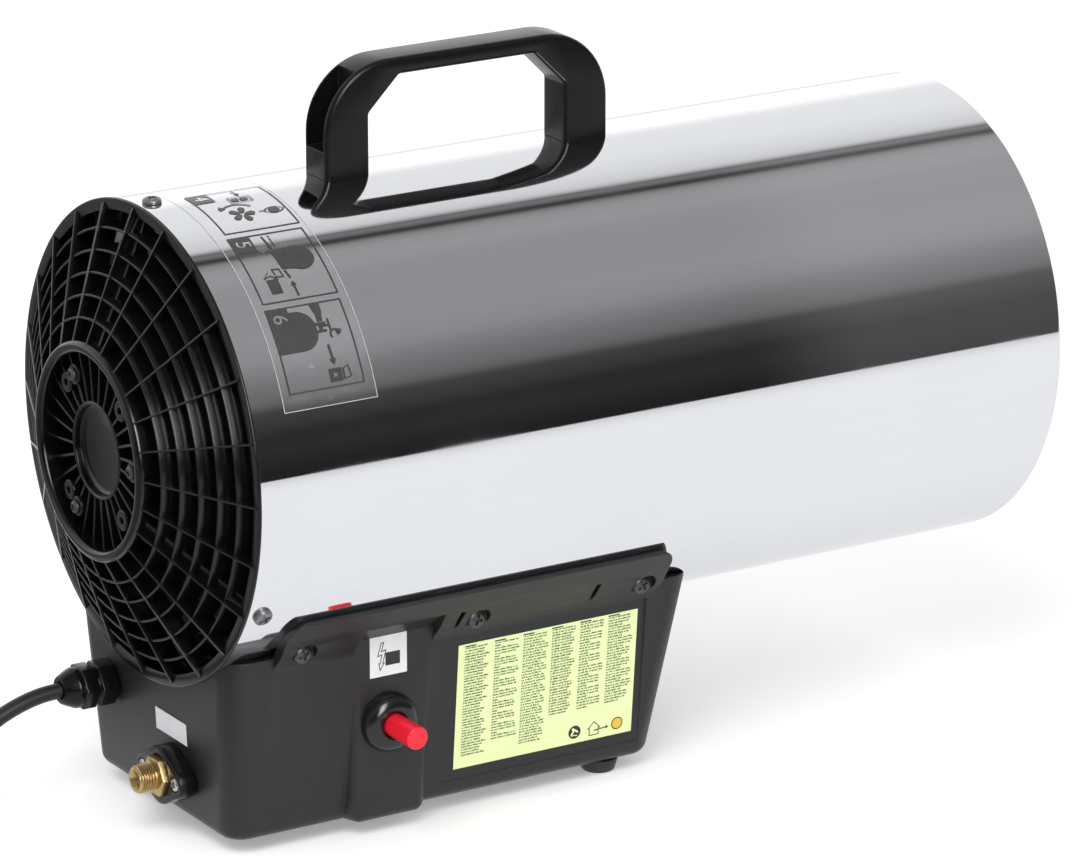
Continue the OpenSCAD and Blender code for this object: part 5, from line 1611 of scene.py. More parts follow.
class MainsLead(Assembly[LeadSize]):
    """The mains lead: down from the gland, coiled on the floor, and out to its plug."""

    DOWN: tuple[Point3, ...] = (
        (-222.4, 42, 53), (-232, 42, 52.4), (-242, 41.6, 50.4), (-253, 40.8, 46.8),
        (-264, 39.5, 41.6), (-275, 37.8, 35.4), (-286, 35.8, 29), (-297, 33.6, 23),
        (-308, 31.6, 18.2), (-319, 29.8, 14.8), (-330, 28.5, 12.8), (-337, 28.1, 12))
    OUT: tuple[Point3, ...] = (
        (-336, 136, 3.7), (-326, 136, 5.2), (-315, 136, 9.5), (-305, 136, 14.4),
        (-295, 136, 17.6), (-285, 136, 18.5), (-280, 136, 18.5))
    PLUG_BODY: tuple[Span, ...] = (
        (0.0, 7.2, 6.8, 6.4), (1.2, 8.6, 7.6, 6.8), (4.0, 11.4, 9.2, 8.0),
        (9.0, 15.6, 12.0, 10.5), (15.0, 17.9, 15.6, 14.0), (21.0, 18.4, 17.9, 17.0),
        (32.0, 18.5, 18.5, 18.4), (34.8, 18.5, 18.5, 18.4), (35.7, 18.1, 18.1, 18.0),
        (36.0, 17.3, 17.3, 17.2))
    TIE_SECTION: tuple[Point2, ...] = (
        (-2.6, 0.25), (-2.2, 0.0), (2.2, 0.0), (2.6, 0.25), (2.4, 0.8), (-2.4, 0.8))

    def coil(self) -> list[Vector]:
        """Lists the coil's points, inwards on top and outwards below.

        Returns:
            The points, in order along the lead.
        """
        size = self.size
        made = []
        half = size.turns / 2
        steps = int(size.turns * size.turn_steps)
        for i in range(steps + 1):
            t = size.turns * i / steps
            inward = half - abs(t - half)
            drop = min(1.0, max(0.0, (t - size.turns_in) / size.turns_down))
            drop = drop * drop * (3 - 2 * drop)
            r = size.coil_r - size.pitch * inward
            a = math.radians(-90 - 360 * t)
            made.append(Vector((size.coil_x + r * math.cos(a), size.coil_y + r * math.sin(a),
                                size.low + size.pitch * (1 - drop))))
        return made

    def route(self) -> list[Vector]:
        """Lists the whole lead's points, smoothed between the ones that it is held by.

        Returns:
            The points, about ``step`` apart.
        """
        points = [Vector(p) for p in self.DOWN] + self.coil() + [Vector(p) for p in self.OUT]
        made: list[Vector] = []
        for i in range(len(points) - 1):
            a, b = points[max(i - 1, 0)], points[i]
            c, d = points[i + 1], points[min(i + 2, len(points) - 1)]
            steps = max(1, round((c - b).length / self.size.step))
            for k in range(steps):
                t = k / steps
                made.append(0.5 * ((2 * b) + (c - a) * t + (2 * a - 5 * b + 4 * c - d) * t * t
                                   + (3 * b - a - 3 * c + d) * t ** 3))
        made.append(points[-1])
        return made

    def build(self) -> None:
        """Adds the lead, its tie and its plug."""
        size = self.size
        route = self.route()
        data = bpy.data.curves.new("mains_lead", "CURVE")
        data.dimensions = "3D"
        data.bevel_depth = size.diameter / 2 * MM
        data.bevel_resolution = 4
        data.use_fill_caps = True
        spline = data.splines.new("POLY")
        spline.points.add(len(route) - 1)
        for point, at in zip(spline.points, route):
            point.co = (*(at * MM), 1.0)
        spline.use_smooth = True
        data.materials.append(self.maker.shop.material(CABLE))
        lead = placed("mains_lead_cord", data)
        self.maker.bind(lead, CABLE, Body.HOUSING,
                        ["mains_lead", "mains_lead_coil", "mains_lead_tail"])
        on_it = [self.tie(), *self.plug()]
        length = sum((b - a).length for a, b in zip(route, route[1:])) * MM
        LOG.info("lead %.3f m", length)
        tuple(route[0] * MM)

    def tie(self) -> bpy.types.Object:
        """Adds the twisted tie that holds the coil together.

        Returns:
            The tie.
        """
        size = self.size
        r, mid = size.coil_r - size.pitch * 0.55, size.low + size.pitch / 2
        half_w, half_h = size.tie_half
        at = Matrix.Translation((size.coil_x, size.coil_y, 0)) @ Matrix.Rotation(
            math.radians(size.tie_turn), 4, "Z")
        low = mid - half_h + 0.9
        loop = rounded([(r - half_w, low), (r + half_w, low), (r + half_w, mid + half_h),
                        (r - half_w, mid + half_h)], 4.2, 6)
        rows = [[at @ Vector((x, offset, z)) for x, z in inset(loop, back)]
                for offset, back in self.TIE_SECTION]
        shape = Shape().grid(rows, ring=True, loop=True)
        tail = [at @ Vector((r + half_w - 4 + 6 * t, -1 + 3.5 * t,
                             mid + half_h + 3.2 * math.sin(2.2 * t)))
                for t in (k / 5 for k in range(8))]
        shape.tube(tail, 0.8, 8)
        return self.maker.piece("lead_tie", shape, CABLE)

    def plug(self) -> list[bpy.types.Object]:
        """Adds the moulded plug and its pins.

        Returns:
            The plug's pieces.
        """
        size = self.size
        at = Matrix.Translation(size.plug_at) @ Matrix.Rotation(math.pi / 2, 4, "Y")
        neck = Shape()
        core = size.core_r
        for i in range(size.neck_ribs):
            h = 1.0 + i * size.neck_step
            r = size.neck_r - 0.9 + 0.12 * i
            neck.lathe(rounded([(core, h), (r, h), (r, h + 1.7), (core, h + 1.7)], 0.4, 2),
                       at, 40)
        neck.lathe([(size.diameter / 2 + 0.02, 0), (size.neck_r - 1.6, 0.2),
                    (size.neck_r - 0.8, size.neck_l + 2), (core, size.neck_l + 2)], at, 40)
        rows = []
        for h, half_y, half_z, corner in self.PLUG_BODY:
            outline = rounded([(half_z, -half_y), (half_z, half_y), (-half_z, half_y),
                               (-half_z, -half_y)], corner, 10)
            rows.append([at @ Vector((x, y, size.neck_l + h)) for x, y in outline])
        body = Shape().grid(rows, ring=True).cap(rows[0], flip=True).cap(rows[-1])
        body.add(neck)
        shell = self.maker.piece("plug_shell", body, PLUG, replaces=["plug_body"], sharp=35)
        pins = Shape()
        for y in (-size.pin_y, size.pin_y):
            start = at @ Matrix.Translation((0, y, size.neck_l + size.body_l))
            pins.lathe([(0, 0), (size.pin_r, 0), (size.pin_r, size.pin_l - 2.2),
                        *arc((0.2, size.pin_l - 2.2), size.pin_r - 0.2, 0, 90, 6),
                        (0, size.pin_l)], start, 28, closed=False)
        metal = self.maker.piece("plug_pin_pair", pins, BRASS, replaces=["plug_pins"])
        return [shell, metal]


@dataclass
class Print:
    """Flat print that follows a surface, drawn in millimetres on it.

    ``at`` gives the point for two distances on the surface and a height above it, and
    ``step`` is the width of the strips that areas are cut into, to follow a curve.
    """

    at: Surface
    height: float
    step: float = 0.0
    layer: float = 0.0
    work: bmesh.types.BMesh = field(default_factory=bmesh.new)

    LIFT = 0.0015

    def area(self, points: Iterable[Sequence[float]]) -> Print:
        """Prints a filled outline, a hair above what is printed already.

        Args:
            points: its points.

        Returns:
            This print.
        """
        self.layer += self.LIFT
        self.work.faces.new([self.work.verts.new((p[0], p[1], self.layer)) for p in points])
        return self

    def box(self, u: float, v: float, width: float, height: float) -> Print:
        """Prints a filled rectangle from its first corner."""
        return self.area([(u, v), (u + width, v), (u + width, v + height), (u, v + height)])

    def stroke(self, points: Sequence[Sequence[float]], width: float,
               closed: bool = False) -> Print:
        """Prints a line.

        Args:
            points: its points.
            width: its width.
            closed: whether it ends where it starts.

        Returns:
            This print.
        """
        count = len(points)
        for i in range(count if closed else count - 1):
            a, b = Vector(points[i][:2]), Vector(points[(i + 1) % count][:2])
            along = (b - a).normalized() * width / 2
            side = Vector((-along.y, along.x))
            self.area([a - along - side, b + along - side, b + along + side,
                       a - along + side])
        return self

    def disc(self, centre: Point2, r: float, squash: float = 1.0, sides: int = 28) -> Print:
        """Prints a disc, squashed along the second axis."""
        return self.area([(centre[0] + r * math.cos(a), centre[1] + squash * r * math.sin(a))
                          for a in turns(sides)])

    def arrow(self, start: Point2, end: Point2, width: float) -> Print:
        """Prints an arrow.

        Args:
            start: where it starts.
            end: where its tip is.
            width: about its line's width.

        Returns:
            This print.
        """
        a, b = Vector(start), Vector(end)
        along = (b - a).normalized()
        side, neck = Vector((-along.y, along.x)) * width, b - along * width * 2.2
        self.stroke([a, neck], width * 0.8)
        return self.area([neck - side * 1.3, b, neck + side * 1.3])

    def number(self, value: int, size: float, centre: Point2) -> Print:
        """Prints a number.

        Args:
            value: the number.
            size: its size.
            centre: its middle.

        Returns:
            This print.
        """
        data = bpy.data.curves.new("number", "FONT")
        data.body, data.size = str(value), size
        data.align_x, data.align_y = "CENTER", "CENTER"
        data.resolution_u = 4
        made = bpy.data.objects.new("number", data)
        mesh = bpy.data.meshes.new_from_object(made)
        for face in mesh.polygons:
            self.area([mesh.vertices[i].co + Vector((*centre, 0)) for i in face.vertices])
        bpy.data.objects.remove(made)
        bpy.data.curves.remove(data)
        bpy.data.meshes.remove(mesh)
        return self

    def shape(self) -> Shape:
        """Lays the print on its surface, which ends it.

        Returns:
            The shape.
        """
        work = self.work
        bmesh.ops.triangulate(work, faces=work.faces)
        if self.step > 0 and work.verts:
            low = min(v.co.x for v in work.verts)
            high = max(v.co.x for v in work.verts)
            for k in range(1, int((high - low) / self.step) + 1):
                bmesh.ops.bisect_plane(
                    work, geom=[*work.verts, *work.edges, *work.faces], dist=1e-5,
                    plane_co=(low + k * self.step, 0, 0), plane_no=(1, 0, 0))
        work.verts.index_update()
        made = Shape([self.at(v.co.x, v.co.y, self.height + v.co.z) for v in work.verts],
                     [tuple(v.index for v in f.verts) for f in work.faces])
        work.free()
        return made


@dataclass(frozen=True)
class HandleSize:
    """The carrying handle."""

    rear_s: float = 91.0
    length: float = 149.0
    top: float = 162.0
    low: float = 96.0
    corner_r: float = 35.0
    width: float = 20.0
    leg: float = 23.0
    bar: float = 8.0
    chamfer: float = 16.0
    soft: float = 2.4
    saddle_r: float = 110.15
    saddle_s: Point2 = (80.0, 250.0)
    pocket_w: float = 15.4
    pocket_depth: float = 11.0
    pocket_l: float = 17.0
    pocket_drop: float = 4.3


class Handle(Assembly[HandleSize]):
    """The moulded handle, with soft edges and an open channel in each bend."""

    def channel(self) -> list[Point2]:
        """Lists the outline of the rear bend's channel.

        Returns:
            The points, in places along the handle and heights above the barrel's axis.
        """
        size = self.size
        middle = size.top - size.corner_r
        r = size.corner_r - size.pocket_depth
        turn = math.degrees(math.acos((size.pocket_l - size.corner_r) / r))
        return [(-2, middle - size.pocket_drop), (size.pocket_depth, middle - size.pocket_drop),
                *arc((size.corner_r, middle), r, 180, turn, 10),
                (size.pocket_l, size.top + 3), (-2, size.top + 3)]

    def build(self) -> None:
        """Adds the handle."""
        size = self.size
        long, top, low = size.length, size.top, size.low
        inner, cut = top - size.bar, size.leg + size.chamfer
        outline = rounded([
            (0, low, 0.0), (size.leg, low, 0.0), (size.leg, inner - size.chamfer),
            (cut, inner), (long - cut, inner), (long - size.leg, inner - size.chamfer),
            (long - size.leg, low, 0.0), (long, low, 0.0), (long, top, size.corner_r),
            (0, top, size.corner_r)], 3.0, 14)
        turn = Matrix.Rotation(math.pi / 2, 4, "X")
        at = Matrix.Translation(DATUM.point(size.rear_s, size.width / 2, 0)) @ turn
        body = Shape().prism(outline, size.width, at, size.soft, 5)
        low, high = size.saddle_s
        cutter = Shape().lathe([(0, low), (size.saddle_r, low), (size.saddle_r, high),
                                (0, high)], DATUM.on_axis(), 256, closed=False)
        body = self.maker.carve(body, cutter)
        at = Matrix.Translation(DATUM.point(size.rear_s, size.pocket_w / 2, 0)) @ turn
        rear = self.channel()
        front = [(long - x, y) for x, y in reversed(rear)]
        cutter = Shape().prism(rear, size.pocket_w, at).prism(front, size.pocket_w, at)
        body = self.maker.carve(body, cutter)
        self.maker.piece("handle_moulded", body, HANDLE, replaces=["handle"])


@dataclass(frozen=True)
class StickerSize:
    """The step sticker on the barrel."""

    first_s: float = 16.0
    last_s: float = 63.0
    top_turn: float = 97.0
    low_turn: float = 20.5
    line: float = 0.62
    box_u: float = 39.0
    box_v: float = 37.3
    tab: float = 10.4
    digit: float = 10.0
    digit_at: Point2 = (5.2, 5.3)
    drift: float = 0.012
    strip: float = 1.5
    rim_in: float = 0.3
    rim_w: float = 0.28
    rim_strip: float = 2.0
    rim_h: float = 0.23
    ink_h: float = 0.24
    digit_h: float = 0.3


class StepSticker(Assembly[StickerSize]):
    """Clear sticker with three numbered steps, drawn as plain shapes."""

    BOXES: tuple[tuple[int, float, float], ...] = (
        (4, 89.3, 23.5), (5, 67.0, 22.0), (6, 44.9, 21.0))

    @staticmethod
    def surface(turn: float, s: float, drift: float = 0.0) -> Surface:
        """Gives the map of a box on the barrel: down its side, then along it.

        Args:
            turn: turn of the box's top, in degrees.
            s: place of its rear side.
            drift: how far it leans to the rear for each step down.

        Returns:
            The map.
        """
        def at(u: float, v: float, h: float) -> Vector:
            """Gives the point ``u`` down and ``v`` along, ``h`` above the barrel."""
            a, r = math.radians(turn) - u / DATUM.barrel_r, DATUM.barrel_r + h
            return DATUM.point(s + v - drift * u, -r * math.cos(a), r * math.sin(a))
        return at

    def build(self) -> None:
        """Adds the print, its cleared numbers and the film's edge."""
        size = self.size
        ink, clear = Shape(), Shape()
        for number, turn, s in self.BOXES:
            at = self.surface(turn, s, size.drift)
            sheet = Print(at, size.ink_h, size.strip)
            sheet.stroke([(0, 0), (size.box_u, 0), (size.box_u, size.box_v),
                          (0, size.box_v)], size.line, True)
            sheet.box(0, 0, size.tab, size.tab)
            getattr(self, f"step_{number}")(sheet)
            ink.add(sheet.shape())
            clear.add(Print(at, size.digit_h, size.strip).number(
                number, size.digit, size.digit_at).shape())
        self.maker.piece("sticker_print", ink, FILM_INK)
        self.maker.piece("sticker_numbers", clear, STEEL)
        length = math.radians(size.top_turn - size.low_turn) * DATUM.barrel_r
        width = size.last_s - size.first_s
        rim = Print(self.surface(size.top_turn, size.first_s), size.rim_h, size.rim_strip)
        near = size.rim_in
        rim.stroke([(near, near), (length - near, near), (length - near, width - near),
                    (near, width - near)], size.rim_w, True)
        self.maker.piece("sticker_rim", rim.shape(), FILM_RIM)

    @staticmethod
    def step_4(sheet: Print) -> None:
        """Draws the rotor, the eye that watches it and the switch.

        Args:
            sheet: the box's print.
        """
        middle = (25.8, 15.6)
        for k in range(5):
            a = 2 * math.pi * k / 5 + 0.3
            out = (math.cos(a), math.sin(a))
            sheet.area([(middle[0] + d * out[0] - w * out[1], middle[1] + d * out[1]
                         + w * out[0]) for d, w in (
                (1.0, -0.5), (3.2, -1.5), (5.2, -1.6), (6.2, -0.6), (6.2, 0.7), (5.0, 1.7),
                (3.0, 1.4), (1.0, 0.5))])
        turn = arc(middle, 9.3, 228, 132, 14)
        sheet.stroke(turn, 0.9).arrow(turn[1], (turn[0][0] - 0.6, turn[0][1] + 2.2), 1.5)
        sheet.stroke([(25.9, 24), (26, 27)], 0.6)
        lid = arc((30.4, 31.2), 6.6, 132, 228, 10) + arc((21.8, 31.2), 6.6, -48, 48, 10)
        sheet.stroke(lid, 0.55, True).disc((26.2, 31.2), 2.6)
        sheet.stroke([(9.2, 16.4), (14.6, 16.4), (14.6, 27), (9.2, 27)], 0.5, True)
        sheet.box(10.2, 17.6, 3.4, 3.2).box(10.2, 21.8, 3.4, 3.6)
        sheet.arrow((1.6, 22.4), (7.6, 23.6), 1.1)

    @staticmethod
    def step_5(sheet: Print) -> None:
        """Draws the pressed knob, the spark box and the arrows that press them.

        Args:
            sheet: the box's print.
        """
        sheet.area([(11.6, 15.8), (22.4, 16.8), (23.4, 24.5), (22.6, 28), (17.3, 30), (12, 28),
                    (10.9, 23)])
        sheet.disc((17.3, 27.2), 7.0, 1.05)
        sheet.arrow((1.9, 16.2), (10.4, 17.3), 1.0)
        for k in range(4):
            sheet.stroke([(1.6 + 2 * k, 19.2), (2.9 + 2 * k, 19.5)], 0.5)
        sheet.stroke([(23.6, 17.6), (27.4, 18.4)], 0.9)
        sheet.arrow((37.0, 18.6), (29.4, 18.4), 1.1)
        sheet.box(27.2, 6.6, 7.6, 5.4)
        sheet.stroke([(23.4, 8.8), (26.4, 6.0), (25.2, 9.6), (27.6, 12.4)], 0.5)
        sheet.stroke([(21.8, 11.6), (26.2, 12.2), (26.4, 15.6), (22.2, 15.0)], 0.5, True)

    @staticmethod
    def step_6(sheet: Print) -> None:
        """Draws the bottle, its valve and the arrows that close it.

        Args:
            sheet: the box's print.
        """
        sheet.area(rounded([(2.6, 0), (21.4, 0), (21.4, 21.4, 8.5), (2.6, 21.4, 8.5)],
                           0.0, 8))
        sheet.area([(0, 21.6), (0, 26.6), (4.2, 26.4), (6.4, 25.6), (9.0, 25.4), (9.0, 22.8),
                    (5.2, 22.8), (2.4, 22.0)])
        sheet.box(9.4, 20.6, 1.3, 5.8).box(10.7, 22.6, 2.4, 1.8).box(13.0, 21.0, 1.2, 5.0)
        sheet.box(8.2, 27.4, 6.2, 0.9).box(10.8, 24.4, 1.0, 3.4)
        sheet.stroke(arc((15.8, 29.4), 2.2, 300, 110, 10), 0.8)
        sheet.arrow((15.2, 31.6), (13.2, 29.6), 1.4)
        sheet.arrow((20.6, 24.4), (29.4, 24.8), 1.3)
        sheet.stroke([(31.2, 21.6), (36.6, 21.6), (36.6, 27.2), (31.2, 27.2)], 0.6, True)
        sheet.box(31.4, 21.8, 1.6, 5.2).box(34.8, 21.8, 1.6, 5.2).box(32.8, 21.8, 2.2, 1.4)
        sheet.box(32.8, 25.4, 2.2, 1.6)
        sheet.stroke([(31.6, 28.4), (36.2, 28.4), (35.4, 31.8), (30.6, 31.0)], 0.5, True)


@dataclass(frozen=True)
class PanelSize:
    """The flat labels on the base."""

    lean: float = 5.165
    columns: tuple[tuple[float, float, int], ...] = (
        (3.6, 1.7, 41), (19.4, 1.9, 39), (34.6, 1.8, 40), (50.0, 1.6, 32), (65.2, 1.5, 34),
        (80.3, 1.4, 34))
    column_w: float = 13.4
    row: float = 1.37
    block_rows: int = 4
    words: tuple[float, ...] = (0.9, 1.4, 1.9, 2.6, 3.3)
    letter: float = 0.46
    letter_h: tuple[float, ...] = (0.52, 0.52, 0.76)
    space: float = 0.42
    line_ends: float = 0.05
    least_width: float = 0.84
    seed: int = 11
    row_h: float = 0.04
    sign_h: float = 0.05
    mark_h: float = 0.08


class Labels(Assembly[PanelSize]):
    """Print on the base's labels: ruled rows in place of words, and plain signs."""

    def panel_map(self) -> Surface:
        """Gives the map of the large label: along the base, then down it.

        Returns:
            The map.
        """
        low, _, high = extent("panel_label")
        a = math.radians(self.size.lean)

        def at(u: float, v: float, h: float) -> Vector:
            """Gives the point ``u`` along and ``v`` down, ``h`` above the label."""
            return Vector((low.x + u, low.y + v * math.sin(a) - h * math.cos(a),
                           high.z - v * math.cos(a) - h * math.sin(a)))
        return at

    def row_block(self, at: Surface, pick: random.Random) -> Print:
        """Draws a few rows of small marks, in place of words.

        Args:
            at: the label's map.
            pick: what chooses the words' lengths.

        Returns:
            The print, whose first row starts at the origin.
        """
        size = self.size
        block = Print(lambda x, y, h: at(x, y, h) - at(0, 0, 0), size.row_h)
        for line in range(size.block_rows):
            x = 0.0
            while x < size.column_w - 1.2:
                word = min(pick.choice(size.words), size.column_w - x)
                for k in range(max(1, round(word / size.letter))):
                    tall = pick.choice(size.letter_h)
                    block.box(x + k * size.letter, line * size.row + 0.8 - tall, 0.3, tall)
                x += word + size.space
                if pick.random() < size.line_ends:
                    break
        return block

    def rows(self, at: Surface) -> None:
        """Adds the columns of ruled rows.

        Args:
            at: the label's map.
        """
        size, repeater = self.size, self.maker.repeater
        pick = random.Random(size.seed)
        step = at(0, size.row * size.block_rows, 0) - at(0, 0, 0)
        for index, (u, v, count) in enumerate(size.columns):
            block = self.row_block(at, pick).shape()
            made = self.maker.piece(f"panel_rows_{index}", block, INK)
            repeater.apply(made, repeater.rows, Count=count // size.block_rows,
                           First=at(u, v, size.row_h) * MM, Offset=step * MM,
                           Least_Width=size.least_width, Seed=3 + index)
            self.maker.flatten(made)

    def build(self) -> None:
        """Adds the print of the labels."""
        size, at = self.size, self.panel_map()
        self.rows(at)
        dark = Print(at, size.sign_h)
        for u, v, _ in size.columns:
            dark.stroke([(u, v - 0.5), (u + 5.4, v - 0.5)], 0.6)
        dark.disc((64.9, 56.4), 3.3, sides=40)
        dark.stroke([(73.0, 59.8), (73.0, 56.4), (72.2, 56.4), (75.4, 53.2), (78.6, 56.4),
                     (77.8, 56.4), (77.8, 59.8)], 0.42, True)
        dark.arrow((75.6, 57.6), (83.4, 57.0), 0.7)
        dark.disc((88.0, 56.4), 3.1, sides=40)
        self.maker.piece("panel_signs", dark.shape(), INK)
        light = Print(at, size.mark_h)
        light.stroke([(63.4, 57.4), (64.8, 55.2), (66.4, 56.4)], 0.9)
        light.disc((64.0, 54.9), 0.7).stroke([(63.2, 58.0), (66.2, 58.2)], 0.5)
        self.maker.piece("panel_sign_marks", light.shape(), PANEL_LABEL)
        amber = Print(at, size.mark_h).disc((88.0, 56.4), 2.6, sides=40)
        self.maker.piece("panel_amber", amber.shape(), AMBER)
        low, _, high = extent("button_label")
        mark = Print(lambda u, v, h: Vector((low.x + u, low.y - h, high.z - v)),
                     size.sign_h)
        mark.box(8.0, 8.2, 7.6, 6.2)
        mark.stroke([(5.8, 3.4), (4.0, 9.4), (6.1, 8.9), (5.3, 13.0), (4.6, 12.8), (5.2, 16.2),
                     (7.4, 12.9), (6.6, 12.9), (8.3, 6.8), (6.0, 7.3), (7.2, 3.1)], 0.42, True)
        self.maker.piece("button_label_mark", mark.shape(), INK)


@dataclass(frozen=True)
class FittingSize:
    """The gas inlet, the cable gland and the push button."""

    hex_af: float = 17.0
    hex_from: float = 5.05
    hex_h: float = 6.0
    thread_r: float = 6.58
    root_r: float = 5.75
    thread_l: float = 9.0
    pitch: float = 1.337
    bore_r: float = 3.0
    cone_r: float = 4.6
    cone_l: float = 5.0
    neck_r: float = 6.4
    neck_l: float = 16.0
    thread_steps: int = 96
    thread_sides: int = 72
    thread_fade: float = 0.9
    gland_af: float = 19.0
    gland_l: float = 10.0
    gland_seat_r: float = 8.9
    gland_tail: Point2 = (7.6, 9.0)
    nut_l: float = 16.5
    nut_r: float = 9.9
    mouth_r: float = 3.8
    collar_r: float = 13.8
    collar_h: float = 7.0
    collar_flat: Point2 = (1.2, 1.6)
    spigot: Point2 = (8.5, 12.0)
    button_gap: float = 0.45
    button_r: float = 5.4
    flange_r: float = 6.8
    button_s: float = 84.0
    button_rise: float = -126.0
    face_y: float = -73.3
    tip_y: float = -99.8


class Fittings(Assembly[FittingSize]):
    """Gas inlet, cable gland and push button."""

    @staticmethod
    def hexagon(af: float, soft: float) -> list[Point2]:
        """Lists the points of a hexagon of a width across flats, with soft corners."""
        r = af / math.sqrt(3)
        return rounded([(r * math.cos(a), r * math.sin(a)) for a in turns(6)], soft, 2)

    def build(self) -> None:
        """Adds the fittings."""
        self.nipple()
        self.gland()
        self.button()

    def nipple(self) -> None:
        """Adds the inlet nipple with its thread and cone."""
        size = self.size
        _, middle, high = extent("inlet_flange")
        at = facing(Vector((high.x, middle.y, middle.z)), REARWARD)
        start = size.hex_from + size.hex_h
        end = start + size.thread_l
        shape = Shape().prism(self.hexagon(size.hex_af, 0.4), size.hex_h,
                              at @ Matrix.Translation((0, 0, size.hex_from)), 0.7)
        steps, sides = size.thread_steps, size.thread_sides
        rows = []
        for i in range(steps + 1):
            z = start - 0.3 + (size.thread_l + 0.3) * i / steps
            fade = min(1.0, max(0.0, (z - start - 0.5) / size.thread_fade),
                       max(0.0, (end - z) / size.thread_fade))
            row = []
            for a in turns(sides):
                phase = (z / size.pitch + a / (2 * math.pi)) % 1.0
                crest = min(1.0, max(0.0, 1.5 - abs(2 * phase - 1) * 2.1))
                r = size.root_r + (size.thread_r - size.root_r) * crest * fade
                row.append(at @ polar(r, a, z))
            rows.append(row)
        shape.grid(rows, ring=True)
        shape.lathe([(size.root_r, end), (size.root_r - 0.35, end),
                     (size.cone_r + 0.15, end), (size.cone_r, end - 0.1),
                     (size.bore_r, end - size.cone_l), (size.bore_r, -size.neck_l),
                     (size.neck_r, -size.neck_l), (size.neck_r, size.hex_from)], at, sides,
                    closed=False)
        self.maker.piece("nipple_threaded", shape, BRASS, replaces=["inlet_nipple"], sharp=48)

    def gland(self) -> None:
        """Adds the gland's body and domed nut."""
        size = self.size
        _, middle, high = extent("cable_gland_nut")
        nut = facing(Vector((high.x, middle.y, middle.z)), REARWARD)
        body = nut @ Matrix.Translation((0, 0, -size.gland_l - 0.05))
        shape = Shape().prism(self.hexagon(size.gland_af, 0.7), size.gland_l - 0.9, body, 0.8)
        seat = size.gland_seat_r
        shape.lathe(rounded([(6, size.gland_l - 1.2), (seat, size.gland_l - 1.2),
                             (seat, size.gland_l), (6, size.gland_l)], 0.3, 2), body, 56)
        r, length = size.gland_tail
        shape.lathe([(4, -length), (r, -length), (r, 0.3), (4, 0.3)], body, 48)
        self.maker.piece("gland_hex", shape, GLAND, replaces=["cable_gland_body"])
        cone = Shape().prism(self.hexagon(size.gland_af, 0.8), 7.4, nut, 0.8)
        cone.lathe(rounded([
            (size.mouth_r, 1), (size.nut_r - 1.4, 6.6, 0.3), (size.nut_r - 0.3, 7.2, 0.7),
            (size.nut_r - 0.4, 9.6, 3), (8.0, 13.0, 3), (6.4, size.nut_l - 0.4, 1.4),
            (4.8, size.nut_l, 0.6), (size.mouth_r, size.nut_l - 1.4, 0.3)], 0.0, 5), nut, 72)
        self.maker.piece("gland_dome", cone, GLAND, replaces=["cable_gland_nut"], sharp=50)

    def button(self) -> None:
        """Adds the collar and the red button."""
        size = self.size
        base = facing(DATUM.point(size.button_s, size.face_y, size.button_rise),
                      Vector((0, -1, 0)))
        r, h = size.collar_r, size.collar_h
        inner = size.button_r + size.button_gap
        flat, brim = size.collar_flat
        outer, end = size.spigot
        dome = [(inner + flat + (r - inner - flat) * math.cos(math.radians(a)),
                 brim + (h - brim) * math.sin(math.radians(a))) for a in range(0, 91, 6)]
        collar = Shape().lathe([(inner, h - 1.0), (inner, -end), (outer, -end), (outer, 0.02),
                                (r - 0.4, 0.02), (r, 0.5), *dome, (inner + 0.5, h - 0.2)],
                               base, 96)
        self.maker.piece("collar_round", collar, COLLAR, replaces=["button_collar"], sharp=45)
        reach = size.face_y - size.tip_y
        cap = Shape().lathe(rounded([
            (0, -2), (size.flange_r, -2), (size.flange_r, 0), (size.button_r, 0),
            (size.button_r, reach, 0.9), (0, reach)], 0.0, 6), base, 64, closed=False)
        self.maker.piece("button_cap", cap, RED, body=Body.BUTTON, replaces=["push_button"],
                         sharp=45)


@dataclass(frozen=True)
class SpringSize:
    """The valve's spring, which lies along Y and shortens as the button is pressed."""

    node: str = "valve_spring"
    joint: str = "button_press"
    travel: float = 8.0


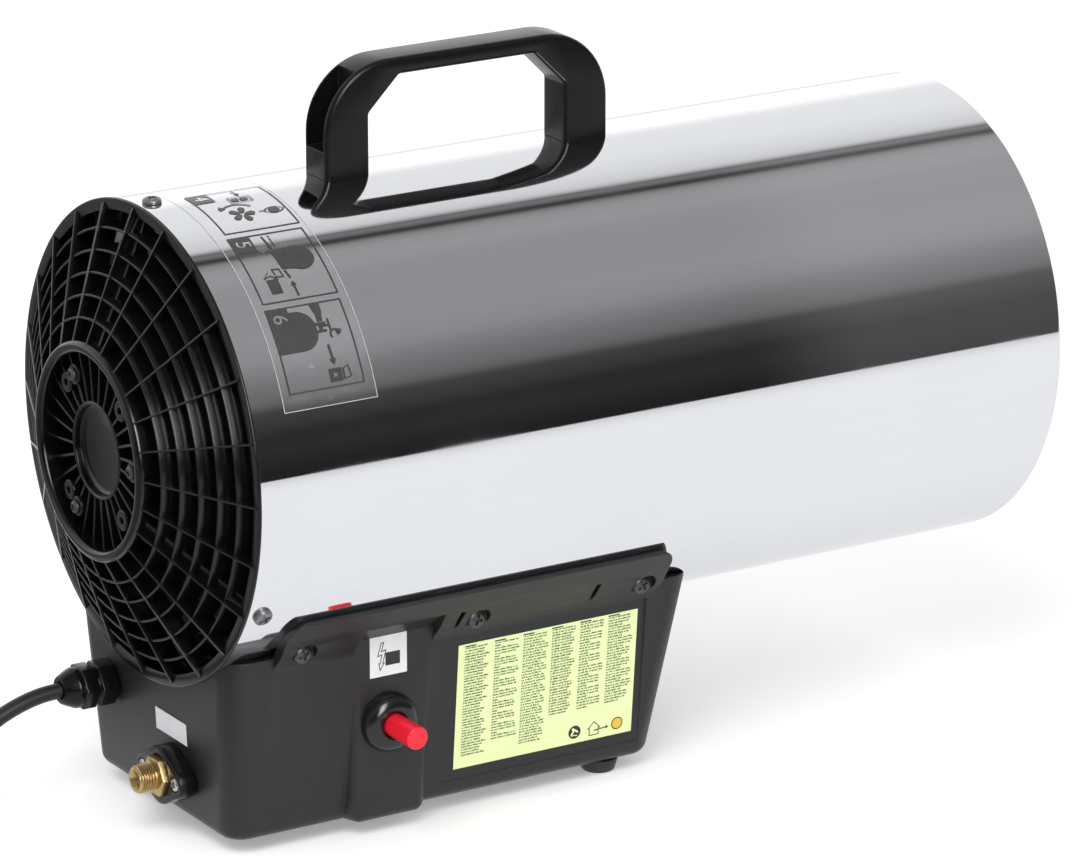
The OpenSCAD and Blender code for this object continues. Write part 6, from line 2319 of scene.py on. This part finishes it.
class KeptNodes(Assembly[SpringSize]):
    """CAD nodes whose shape stays, each merged, smoothed and given its own finish."""

    FINISHES: tuple[tuple[Finish, float, str], ...] = (
        (MOTOR, 0, "motor_housing"),
        (BRASS, 0, "motor_bearings fan_nut jet_holder jet_nut gas_jet pipe_nuts "
                   "gas_valve_body"),
        (BRIGHT, 0, "motor_shaft valve_stem valve_spring piezo_bracket spark_electrode "
                    "gland_locknut"),
        (FAN, 0, "fan_impeller"),
        (BURNER, 0, "flame_tube tube_spacers burner_bracket burner_cup cup_posts"),
        (COPPER, 0, "gas_pipe inlet_pipe thermocouple"),
        (COLLAR, 0, "collar_nut"),
        (CREAM, 0, "piezo_igniter terminal_block"),
        (RED, 0, "piezo_plunger"),
        (CERAMIC, 0, "electrode_insulator overheat_cutout"),
        (LEAD_RED, 0, "ignition_lead"),
        (CABLE, 0, "wiring"),
        (FOOT, 0, "grommets"),
        (BASE, 0.7, "base_shell"),
        (FOOT, 0.5, "rubber_feet"),
        (ZINC, 0, "foot_screws handle_screws"),
        (HANDLE, 0.6, "inlet_flange"),
        (CLEAR, 0, "step_sticker"),
        (PANEL_LABEL, 0, "panel_label"),
        (WHITE_LABEL, 0, "button_label"),
        (GREY_LABEL, 0, "inlet_label"))

    def build(self) -> None:
        """Gives each node that no piece stands for its finish, and gives the spring a mesh of
        its own.
        """
        for finish, soften, nodes in self.FINISHES:
            for node in nodes.split():
                if not self.maker.frame["nodes"][node].hide_render:
                    self.maker.keep(node, finish, soften)
        size = self.size
        low, _, high = extent(size.node)
        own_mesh(self.maker.frame["nodes"][size.node])


class Heater:
    """The whole heater, assembled from its sub-assemblies."""

    def __init__(self, maker: Maker) -> None:
        """Makes the sub-assemblies.

        Args:
            maker: what adds their pieces.
        """
        self.parts: list[Assembly] = [
            MainsLead(LeadSize(), maker), Barrel(BarrelSize(), maker),
            IntakeGrille(GrilleSize(), maker), Screws(ScrewRow(), maker),
            Handle(HandleSize(), maker), StepSticker(StickerSize(), maker),
            Labels(PanelSize(), maker), Fittings(FittingSize(), maker),
            KeptNodes(SpringSize(), maker)]

    def build(self) -> None:
        """Adds every piece, and finishes the CAD nodes that stay."""
        for part in self.parts:
            LOG.info("building %s", type(part).__name__)
            part.build()


def corners(pair: Iterable[Sequence[float]]) -> list[list[float]]:
    """Turns a box into plain numbers."""
    return [[float(c) for c in corner] for corner in pair]


def main() -> None:
    """Builds the scene."""
    logging.basicConfig(level=logging.INFO, format="%(name)s: %(message)s")
    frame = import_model()
    Studio(StudioSize()).build()
    Heater(Maker(frame)).build()


if __name__ == "__main__":
    main()
